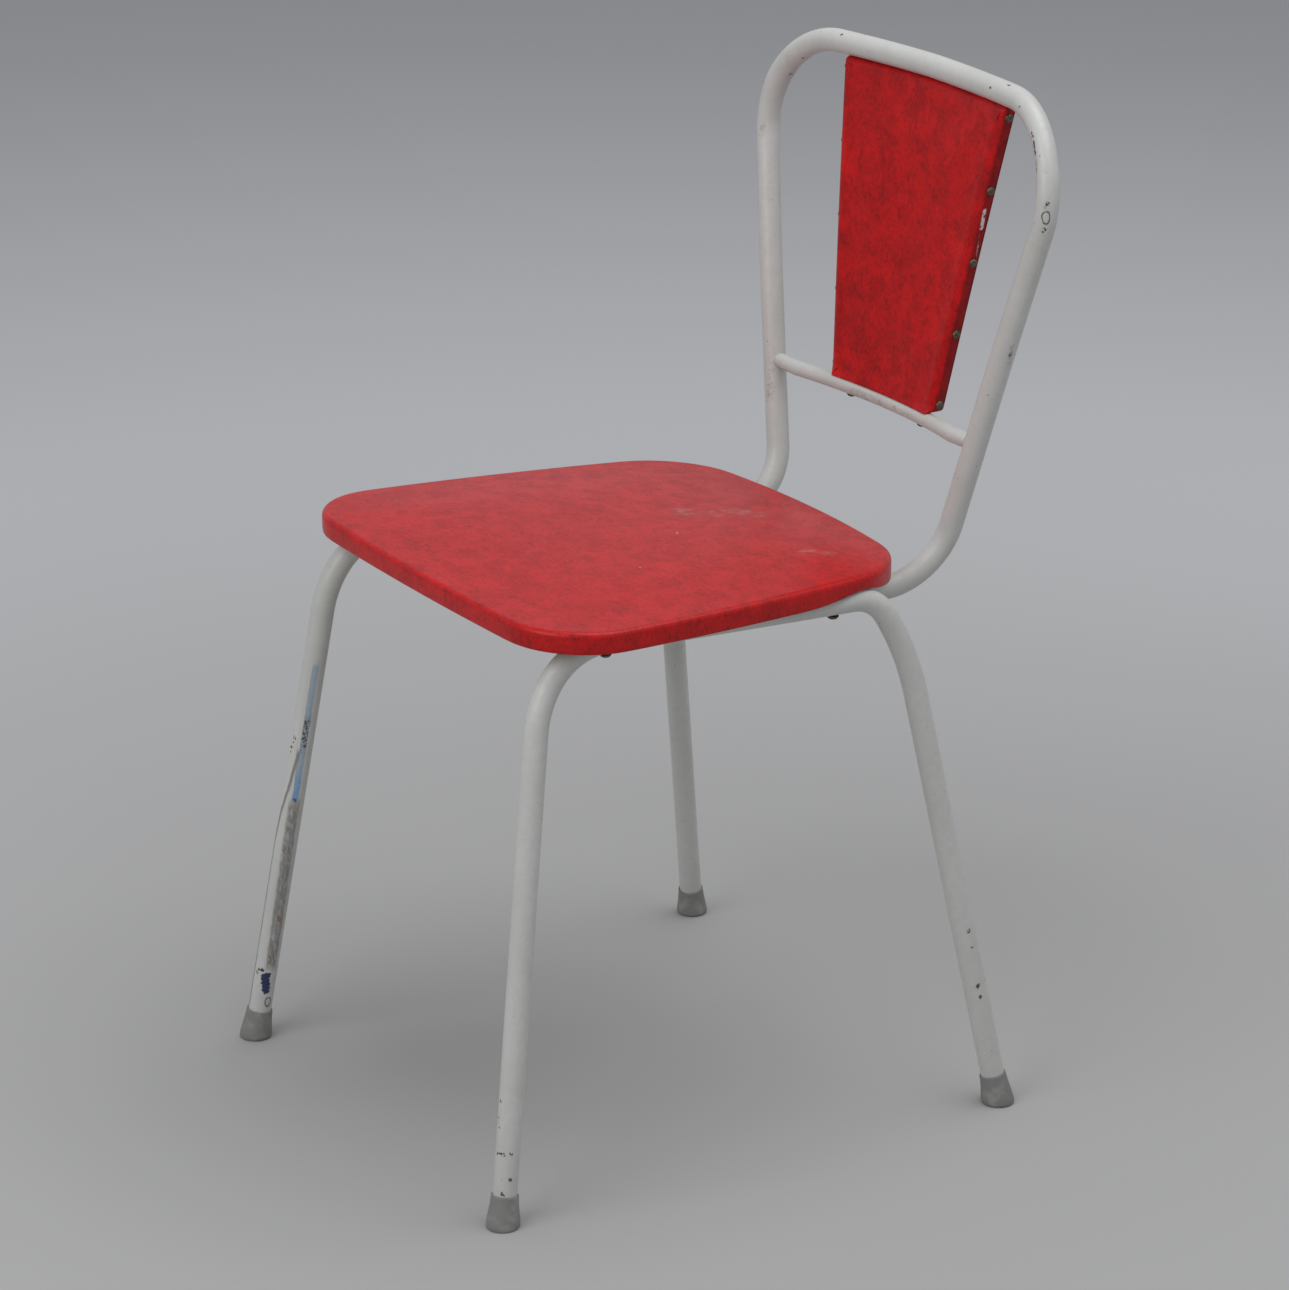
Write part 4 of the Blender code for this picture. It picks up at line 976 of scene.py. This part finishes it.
def leg_top_above(point):
    """Top of the leg frame over a plan point, with clearance, or a low number."""
    best = -1.0
    spot = Vector((abs(point.x), point.y, 0.0))
    reach = TUBE_RADIUS + RIM_CLEARANCE
    for a, b in zip(rail_points[:-1], rail_points[1:]):
        flat_a, flat_b = Vector((a.x, a.y, 0.0)), Vector((b.x, b.y, 0.0))
        run = flat_b - flat_a
        share = max(0.0, min(1.0, (spot - flat_a).dot(run) / run.length_squared))
        away = (spot - flat_a - run * share).length
        if away < reach:
            best = max(best, a.z + (b.z - a.z) * share + math.sqrt(reach ** 2 - away ** 2))
    return best


rim = []
for point, out in zip(outline, outline_out):
    tops = [leg_top_above(point - out * inset) - seat_plane(point.y) for inset in RIM_INSETS]
    hang = SEAT_RIM_DROP + RIM_REAR_DROP * smooth_step(0.0, RIM_DROP_BY_Y, point.y)
    rim.append(max(tops + [-hang]))
for _ in range(RIM_PASSES):
    beside = zip(rim[-1:] + rim[:-1], rim[1:] + rim[:1])
    rim = [max(level, (before + after) / 2.0) for level, (before, after) in zip(rim, beside)]
print("seat rim from", round(min(rim), 4), "to", round(max(rim), 4), "over the rail tops")

# %% [markdown]
# ## Seat cushion form
#
# The rings run from the board's edge down to the rim, round the rim, up the side and over the
# rolled top edge. The top is lifted into a low crown, flat enough that the seat still looks like
# a covered board, and everything is then laid along the slope of the rails.

# %% Seat cushion form
SEAT_EDGE_ROLL, SEAT_TUCK, BOARD_TOP = 0.0046, 0.0020, 0.0066
RIM_ROUND = ((BOARD_INSET, 0.0006), (0.0038, 0.0), (SEAT_TUCK + 0.0008, 0.0004),
             (SEAT_TUCK, 0.0018))
SEAT_CELL, SEAT_TOP_CROWN, CROWN_POWER = 0.012, 0.0056, 2.2


def seat_ring(inset, height=None, above_rim=0.0):
    """Ring at a height over the rail tops, or at a distance above the uneven rim."""
    spots_in = [point - out * inset for point, out in zip(outline, outline_out)]
    for spot, low in zip(spots_in, rim):
        spot.z = low + above_rim if height is None else height
    return spots_in


seat_rings = [seat_ring(BOARD_INSET, BOARD_TOP)]
seat_rings += [seat_ring(inset, above_rim=rise) for inset, rise in RIM_ROUND]
seat_rings += [seat_ring(SEAT_TUCK + inset, height)
               for inset, height in roll_profile(SEAT_EDGE_ROLL, SEAT_EDGE_RISE)]
seat_rings.append(seat_ring(SEAT_TUCK + SEAT_EDGE_ROLL + CAP_LAP, SEAT_EDGE_RISE))
for vert, place in zip(seat_base.verts, seat_ring(BOARD_INSET + CAP_LAP, BOARD_TOP)):
    vert.co = place
seat_cap = stack_rings(seat_bm, seat_base, seat_rings)
grid_cut(seat_bm, seat_cap, SEAT_CELL)


def seat_crown(x, y):
    """How far the wadding lifts the middle of the top."""
    v = abs(y - SEAT_MIDDLE_Y) / (SEAT_DEPTH / 2.0)
    half = SEAT_FRONT_HALF + (SEAT_REAR_HALF - SEAT_FRONT_HALF) * (y - SEAT_FRONT_Y) / SEAT_DEPTH
    u = abs(x) / (half + SEAT_SIDE_BOW)
    return SEAT_TOP_CROWN * max(0.0, 1.0 - u ** CROWN_POWER) * max(0.0, 1.0 - v ** CROWN_POWER)


for vert in seat_bm.verts:
    lifted = smooth_step(SEAT_EDGE_RISE - SEAT_EDGE_ROLL, SEAT_EDGE_RISE, vert.co.z)
    top = lifted if vert.co.z > BOARD_TOP + GAP else 0.0
    vert.co.z += seat_plane(vert.co.y) + seat_crown(vert.co.x, vert.co.y) * top
bmesh.ops.recalc_face_normals(seat_bm, faces=seat_bm.faces)
print("seat cushion faces:", len(seat_bm.faces))

# %% [markdown]
# ## Swelling a pad
#
# Wadding pushes the cover out between its fixed edges. A short cloth run with a little air
# pressure does the same. Held points are pinned, and every point's move is capped by how far it
# lies from the edge, so that the pad stays firm and its rolled edge stays crisp.

# %% Swelling
CLOTH_FRAMES, PRESSURE, PAD_FILL = 20, 4.0, 0.9


def swell(name, bm, most):
    """Turn a bmesh into an object and swell it. most(co) is how far a point may move."""
    mesh = mesh_from(name, bm)
    pad = link_new(name, mesh)
    before = [vert.co.copy() for vert in mesh.vertices]
    limits = [most(co) for co in before]
    pins = pad.vertex_groups.new(name="held")
    pins.add([i for i, limit in enumerate(limits) if limit == 0.0], 1.0, 'REPLACE')
    cloth = pad.modifiers.new("swell", 'CLOTH')
    cloth.settings.effector_weights.gravity = 0.0
    cloth.settings.use_pressure = True
    cloth.settings.uniform_pressure_force = PRESSURE
    cloth.settings.vertex_group_mass = pins.name
    cloth.collision_settings.use_collision = False
    for step in range(1, CLOTH_FRAMES + 1):
        bpy.context.scene.frame_set(step)
    settled = pad.evaluated_get(bpy.context.evaluated_depsgraph_get())
    after = [vert.co.copy() for vert in settled.data.vertices]
    pad.modifiers.remove(cloth)
    bpy.context.scene.frame_set(1)
    pad.vertex_groups.clear()
    furthest = 0.0
    for vert, old, new, limit in zip(mesh.vertices, before, after, limits):
        move = new - old
        furthest = max(furthest, move.length)
        if move.length > limit:
            move *= limit / move.length
        vert.co = old + move
    print(name, "swelled, furthest free move:", round(furthest, 4))
    return pad


def finish_padded(pad, material, replaced):
    """Smooth a swelled pad, give it its finish, hang it on the chair and hide the solids it stands
    for.
    """
    pad.data.materials.append(material)
    pad.data.shade_smooth()
    soft = pad.modifiers.new("smooth_cells", 'SUBSURF')
    soft.levels = soft.render_levels = 2
    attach(pad, "root")
    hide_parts(*replaced)


# %% [markdown]
# ## Seat cushion and board
#
# The seat's top swells by up to a millimetre and a half in the middle. The board under it keeps
# its own solid and shows bare plywood from below.

# %% Seat cushion
SEAT_SWELL, SEAT_SWELL_WIDTH = 0.0016, 0.10


def seat_most(point):
    """How far a point may swell. Only the top is free."""
    if point.z < seat_plane(point.y) + SEAT_EDGE_RISE - GAP:
        return 0.0
    inside = edge_distance(point, outline) - SEAT_EDGE_ROLL - SEAT_TUCK
    return SEAT_SWELL * smooth_step(0.0, SEAT_SWELL_WIDTH, inside)


cushion = swell("seat_cushion", seat_bm, seat_most)
finish_padded(cushion, seat_vinyl, ["seat_cover", "seat_padding"])


def paint_node(name, material):
    """Give one of the chair's own solids a finish."""
    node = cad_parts[name]
    node.data.materials.clear()
    node.data.materials.append(material)


for board in ("seat_board", "back_board"):
    paint_node(board, bare_plywood)
print("seat done")

# %% [markdown]
# ## Back pad shape
#
# The pad tapers from the top tube down to the crossbar and follows the bow of both. It is built
# flat from rings, as the seat was, with the height of the pad as its length, and is then bent
# to the curve of the back. The padding puffs its sides out a little past the board.

# %% Back pad shape
PAD_PUFF, PAD_CELL = 0.0015, 0.009
PAD_CORNER_CUTS, PAD_EDGE_CUTS = 3, 16

pad_low_z = BAR_HEIGHT - BAR_SAG + BAR_RADIUS + GAP
pad_high_z = HOOP_CORNER.z + HOOP_TOP_RISE - TUBE_RADIUS - GAP
pad_height = pad_high_z - pad_low_z


def pad_place(x, level, offset):
    """Bend a flat pad point (x, level from 0 to 1, depth) to the back's curve."""
    low = bar_point(x).z + BAR_RADIUS + GAP
    high = hoop_top(x).z - TUBE_RADIUS - GAP
    z = low + (high - low) * level
    share = (z - bar_point(x).z) / (hoop_top(x).z - bar_point(x).z)
    y = bar_point(x).y + (hoop_top(x).y - bar_point(x).y) * share + offset
    return Vector((x, y, z))


def pad_plan():
    """A flat face in the pad's shape. Its length lies along Y until it is bent."""
    bm = bmesh.new()
    low, high = PAD_BOTTOM_HALF + PAD_PUFF, PAD_TOP_HALF + PAD_PUFF
    spots = ((-low, 0.0), (low, 0.0), (high, pad_height), (-high, pad_height))
    verts = [bm.verts.new((x, y, 0.0)) for x, y in spots]
    bm.faces.new(verts)
    bmesh.ops.bevel(bm, geom=verts, offset=PAD_CORNER, affect='VERTICES',
                    segments=PAD_CORNER_CUTS, profile=0.5, material=-1)
    long_edges = [e for e in bm.edges if e.calc_length() > 2.0 * PAD_CORNER]
    bmesh.ops.subdivide_edges(bm, edges=long_edges, cuts=PAD_EDGE_CUTS)
    return bm


def pad_form(base_ring, rings, lip=()):
    """Extrude the pad's plan through rings and cut both faces into cells.

    The last rings take the shape of the lip along the bottom edge, if one is given."""
    bm = pad_plan()
    base = bm.faces[:][0]
    points = [vert.co.copy() for vert in base.verts]
    ways = outward(points)

    def ring(inset, depth, hang=None):
        made = [p - n * inset + Vector((0.0, 0.0, depth)) for p, n in zip(points, ways)]
        if hang is None:
            return made
        lower = [Vector((a.x, p.y + hang[0], hang[1])) for a, p in zip(made, points)]
        return [a.lerp(b, smooth_step(0.0, 1.0, -n.y)) for a, b, n in zip(made, lower, ways)]

    for vert, place in zip(base.verts, ring(*base_ring)):
        vert.co = place
    hangs = [None] * (len(rings) - len(lip)) + list(lip)
    cap = stack_rings(bm, base, [ring(*pair, hang) for pair, hang in zip(rings, hangs)])
    rolled = set(bm.verts) - set(cap.verts)
    for face in (cap, base):
        grid_cut(bm, face, PAD_CELL)
        if face is cap:
            front = set(bm.verts) - rolled
    return bm, points, front


def bend_pad(bm):
    """Bend a flat pad to the curve of the back."""
    for vert in bm.verts:
        vert.co = pad_place(vert.co.x, vert.co.y / pad_height, -vert.co.z)
    bmesh.ops.recalc_face_normals(bm, faces=bm.faces)


print("pad height:", round(pad_height, 4))

# %% [markdown]
# ## Back pad form
#
# The rings start in the recess at the rear, go over its edge and up the side, and end past the
# rolled front edge. The front has a low crown. Along the crossbar the cover rises in a lip where
# it is folded over, so the bottom edge of each of the last rings is placed on its own, by how
# far in and how far forward it lies.

# %% Back pad form
PAD_EDGE_ROLL, PAD_ROLL_REACH, PAD_CROWN, PAD_COVER = 0.0062, 0.0105, 0.0012, 0.0012
PAD_DEEPER, REAR_EDGE_INSET, REAR_EDGE_ROUND = 0.0020, 0.0002, 0.0005
LIP_RISE, LIP_OUT, LIP_SIDE_FADE = 0.045, 0.0024, 0.034
LIP_RINGS = ((0.0, -0.0032), (-0.0001, 0.0004), (-0.0003, 0.0022), (-0.0010, 0.0040),
             (-0.0012, 0.0050), (0.0, 0.0056), (0.0045, 0.0054))

front_profile = roll_profile(PAD_EDGE_ROLL, -PAD_FRONT, PAD_ROLL_REACH)
pad_back = PAD_REAR + PAD_DEEPER
pad_bm, pad_outline, pad_front = pad_form(
    (PAD_COVER + CAP_LAP, -PAD_RECESS),
    [(PAD_COVER, -PAD_RECESS), (PAD_COVER, -pad_back), (REAR_EDGE_INSET, -pad_back),
     (0.0, -pad_back + REAR_EDGE_ROUND)] + front_profile + [(PAD_ROLL_REACH + CAP_LAP, -PAD_FRONT)],
    LIP_RINGS)
for vert in pad_front:
    inside = edge_distance(vert.co, pad_outline) - PAD_ROLL_REACH
    aside = PAD_BOTTOM_HALF - PAD_ROLL_REACH - abs(vert.co.x)
    fade = smooth_step(0.0, LIP_SIDE_FADE, aside) * (1.0 - smooth_step(0.0, LIP_RISE, vert.co.y))
    crown = PAD_CROWN * smooth_step(0.0, PAD_BOTTOM_HALF, inside)
    vert.co.z = -PAD_FRONT + crown + LIP_OUT * fade
bend_pad(pad_bm)
print("back pad faces:", len(pad_bm.faces))

# %% [markdown]
# ## Back pad cover
#
# The front is swelled like the seat. A thin second sheet of vinyl closes the rear of the pad.

# %% Back pad cover
PAD_SWELL, PAD_SWELL_WIDTH = 0.0017, 0.045
PANEL_INSET, PANEL_ROUND, PANEL_FRONT_ROUND, PANEL_LAP = 0.0003, 0.0003, 0.0002, 0.0040


def pad_most(point):
    """How far a point may swell. Only the front face is free."""
    share = (point.z - pad_low_z) / pad_height
    depth = point.y - pad_place(point.x, share, 0.0).y
    if depth > PAD_FRONT + GAP or point.z < pad_low_z:
        return 0.0
    inside = edge_distance(Vector((point.x, point.z - pad_low_z, 0.0)), pad_outline)
    return PAD_SWELL * smooth_step(0.0, PAD_SWELL_WIDTH, inside - PAD_ROLL_REACH)


back_pad = swell("back_pad", pad_bm, pad_most)
finish_padded(back_pad, pad_vinyl, ["back_cover", "back_padding"])

panel_front, panel_back = REAR_PANEL_FRONT + PAD_DEEPER, REAR_PANEL_BACK + PAD_DEEPER
rear_bm = pad_form(
    (PANEL_LAP, -panel_front),
    [(PANEL_INSET + PANEL_ROUND, -panel_front), (PANEL_INSET, -panel_front - PANEL_FRONT_ROUND),
     (PANEL_INSET, -panel_back + PANEL_ROUND), (PANEL_INSET + PANEL_ROUND, -panel_back),
     (PANEL_LAP, -panel_back)])[0]
bend_pad(rear_bm)
make_piece("back_rear_panel", rear_bm, pad_vinyl, "back_rear_cover")

# %% [markdown]
# ## Feet
#
# Each foot is a flared rubber ferrule pushed over the tube. A half profile is spun round the
# leg's axis, and then the sole is sheared level with the floor, because the leg leans.

# %% Feet
FOOT_SIDES, LEVEL_SHARE, MERGE = 48, 0.6, 1e-6
FOOT_PROFILE = ((0.0, 0.0), (0.0118, 0.0), (0.0131, 0.0006), (0.0138, 0.0020), (0.0139, 0.0040),
                (0.0134, 0.0080), (0.0125, 0.0140), (0.0117, 0.0200), (0.01135, 0.0250),
                (0.01125, 0.0264), (0.0110, 0.0270), (0.0104, 0.0270), (0.0102, 0.0264))


def spun(profile, sides, axis_point, axis):
    """Spin a (radius, height) profile into a closed skin round an axis."""
    bm = bmesh.new()
    verts = [bm.verts.new((radius, 0.0, height)) for radius, height in profile]
    edges = [bm.edges.new(pair) for pair in zip(verts[:-1], verts[1:])]
    bmesh.ops.spin(bm, geom=edges, cent=ORIGIN, axis=Z_AXIS, angle=2.0 * math.pi, steps=sides,
                   use_merge=True)
    bmesh.ops.remove_doubles(bm, verts=bm.verts, dist=MERGE)
    bmesh.ops.holes_fill(bm, edges=[e for e in bm.edges if e.is_boundary], sides=0)
    bmesh.ops.recalc_face_normals(bm, faces=bm.faces)
    turn = axis.normalized().to_track_quat('Z', 'Y').to_matrix().to_4x4()
    bmesh.ops.transform(bm, matrix=Matrix.Translation(axis_point) @ turn, verts=bm.verts)
    return bm


def make_foot(name, centre, axis):
    """Spin a ferrule round a leaning leg and shear its sole level."""
    bm = spun(FOOT_PROFILE, FOOT_SIDES, centre, axis)
    height = FOOT_PROFILE[-2][1]
    for vert in bm.verts:
        along = (vert.co - centre).dot(axis)
        radial = vert.co - centre - axis * along
        lean = max(0.0, 1.0 - along / (LEVEL_SHARE * height))
        vert.co -= axis * (radial.z / axis.z) * lean
    make_piece(name + "_ferrule", bm, grey_rubber, name + "_foot")


SIDES = (("left", 1.0), ("right", -1.0))
for side, sign in SIDES:
    for end, centre, axis in (("front", FOOT_FRONT, front_axis), ("rear", FOOT_REAR, rear_axis)):
        place = Vector((sign * centre.x, centre.y, 0.0))
        make_foot(side + "_" + end, place, Vector((sign * axis.x, axis.y, axis.z)))

# %% [markdown]
# ## Tack and screw heads
#
# Five domed tacks hold the cover down each side of the back pad. Domed screws come up
# through the rails into the seat board, and through the crossbar into the pad. Each head is a
# small profile spun round, and it sits where its own solid sits.

# %% Tack and screw heads
DOME_SIDES = 28
TACK_HEAD, BAR_SCREW_HEAD = (0.0038, 0.0022), (0.0040, 0.0026)
SEAT_SCREW_HEAD = (0.0050, 0.0030)
TACK_TOP_MARGIN, TACK_BOTTOM_MARGIN, TACKS = 0.0100, 0.0080, 5
PAD_BOARD_MIDDLE = 0.0048
DOME_SHAPE = ((0.0, 1.0), (0.22, 0.98), (0.44, 0.91), (0.64, 0.78), (0.81, 0.58), (0.93, 0.33),
              (0.99, 0.10), (0.985, 0.0), (0.0, 0.0))


def dome_head(name, spot, facing, head, node):
    """A domed head of a given (radius, height) at a spot."""
    profile = [(radius * head[0], height * head[1]) for radius, height in DOME_SHAPE]
    make_piece(name, spun(profile, DOME_SIDES, spot, facing), bronze, node)


pad_lean = (PAD_TOP_HALF - PAD_BOTTOM_HALF) / pad_height
for k in range(TACKS):
    span = 1.0 - (TACK_TOP_MARGIN + TACK_BOTTOM_MARGIN) / pad_height
    level = 1.0 - TACK_TOP_MARGIN / pad_height - span * k / (TACKS - 1)
    half = PAD_BOTTOM_HALF + (PAD_TOP_HALF - PAD_BOTTOM_HALF) * level
    for side, sign in SIDES:
        facing = Vector((sign, 0.0, -pad_lean)).normalized()
        spot = pad_place(sign * half, level, PAD_BOARD_MIDDLE) + facing * (PAD_PUFF + GAP)
        dome_head(f"{side}_tack_head_{k + 1}", spot, facing, TACK_HEAD, f"{side}_back_tack_{k + 1}")

back_lean = hoop_top(0.0) - bar_point(0.0)
for side, sign in SIDES:
    low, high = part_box(side + "_back_screw")
    facing = -Vector((0.0, back_lean.y, back_lean.z)).normalized()
    spot = Vector(((low.x + high.x) / 2.0, low.y + BAR_SCREW_HEAD[0], low.z + BAR_SCREW_HEAD[1]))
    dome_head(side + "_bar_screw_head", spot, facing, BAR_SCREW_HEAD, side + "_back_screw")
    for end in ("front", "rear"):
        low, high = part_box(f"{side}_{end}_seat_screw")
        spot = Vector(((low.x + high.x) / 2.0, (low.y + high.y) / 2.0, low.z + SEAT_SCREW_HEAD[1]))
        dome_head(f"{side}_{end}_screw_head", spot, -Z_AXIS, SEAT_SCREW_HEAD,
                  f"{side}_{end}_seat_screw")

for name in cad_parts:
    if name.endswith("washer") or name.endswith("pin"):
        paint_node(name, steel)
print("small metal done")

# %% [markdown]
# ## Floor, backdrop and light
#
# The chair stands on a pale floor whose grey is painted shade and light: darker near the chair,
# a painted shadow that deepens the one under it, lightest a couple of metres away, a painted
# light where the lamps fall off, and darker far behind, a painted fall-off of the light. A soft
# lamp in front of the sitter gives the tubes their bright side, a wide one hangs overhead, and an
# even world light fills the shadows.

# %% Stage
FLOOR_NEAR_SHADE, FLOOR_MIDDLE = (0.365, 0.363, 0.358), (0.515, 0.517, 0.525)
FLOOR_FAR_SHADE, FLOOR_HALF = (0.405, 0.407, 0.418), 14.0
WORLD_COLOUR, WORLD_STRENGTH = (0.93, 0.95, 1.0, 1.0), 0.50
LAMP_AIM = (0.0, 0.0, 0.4)
FADE_START, FADE_MIDDLE, FADE_END = 0.4, 2.0, 4.7


def stage_material():
    s = Shader("pale_floor")
    away = s.vector('DISTANCE', s.place, ORIGIN, "Value")
    # Painted shade: darker near the chair to deepen its shadow, and darker far behind as the light
    # falls off.
    near = s.range(away, FADE_START, FADE_MIDDLE)
    far = s.range(away, FADE_MIDDLE, FADE_END)
    colour = s.mix(far, s.mix(near, FLOOR_NEAR_SHADE, FLOOR_MIDDLE), FLOOR_FAR_SHADE)
    return s.finish(Base_Color=colour, Roughness=0.95)


stage_bm = bmesh.new()
bmesh.ops.create_grid(stage_bm, x_segments=1, y_segments=1, size=FLOOR_HALF)
floor = link_new("studio_floor", mesh_from("studio_floor", stage_bm))
floor.data.materials.append(stage_material())

world = bpy.data.worlds.new("soft_studio")
bpy.context.scene.world = world
world.use_nodes = True
world.node_tree.nodes["Background"].inputs["Color"].default_value = WORLD_COLOUR
world.node_tree.nodes["Background"].inputs["Strength"].default_value = WORLD_STRENGTH


def soft_lamp(name, place, size, power):
    """A round lamp that faces the chair."""
    data = bpy.data.lights.new(name, 'AREA')
    data.shape = 'DISK'
    data.size = size
    data.energy = power
    lamp = link_new(name, data)
    lamp.location = place
    lamp.rotation_euler = (Vector(LAMP_AIM) - Vector(place)).to_track_quat('-Z', 'Y').to_euler()


soft_lamp("key_soft", (0.5, -2.7, 2.3), size=2.6, power=40.0)
soft_lamp("overhead_soft", (0.5, 0.7, 3.4), size=3.0, power=54.0)
print("lamps set")

# %% [markdown]
# ## Camera
#
# The picture was taken with a long lens from the sitter's front left, looking down by about
# twenty degrees. Its focal length is known in the picture's own pixels. Divided by the
# picture's width and multiplied by the sensor's, it gives a lens that holds at any size.

# %% Camera
PHOTO_WIDTH = 1289.0
FOCAL_PIXELS = 4532.3
CAMERA_PLACE = Vector((3.0295, -1.9124, 1.6808))
CAMERA_TURN, CAMERA_TILT = math.radians(57.82), math.radians(-20.0)

camera_data = bpy.data.cameras.new("photo_camera")
camera_data.sensor_fit = 'HORIZONTAL'
camera_data.lens = camera_data.sensor_width * FOCAL_PIXELS / PHOTO_WIDTH
camera = link_new("photo_camera", camera_data)
camera.location = CAMERA_PLACE
camera.rotation_euler = (math.pi / 2.0 + CAMERA_TILT, 0.0, CAMERA_TURN)
bpy.context.scene.camera = camera
bpy.context.scene.view_settings.view_transform = 'Standard'
print("camera set, lens:", round(camera_data.lens, 1), "mm")
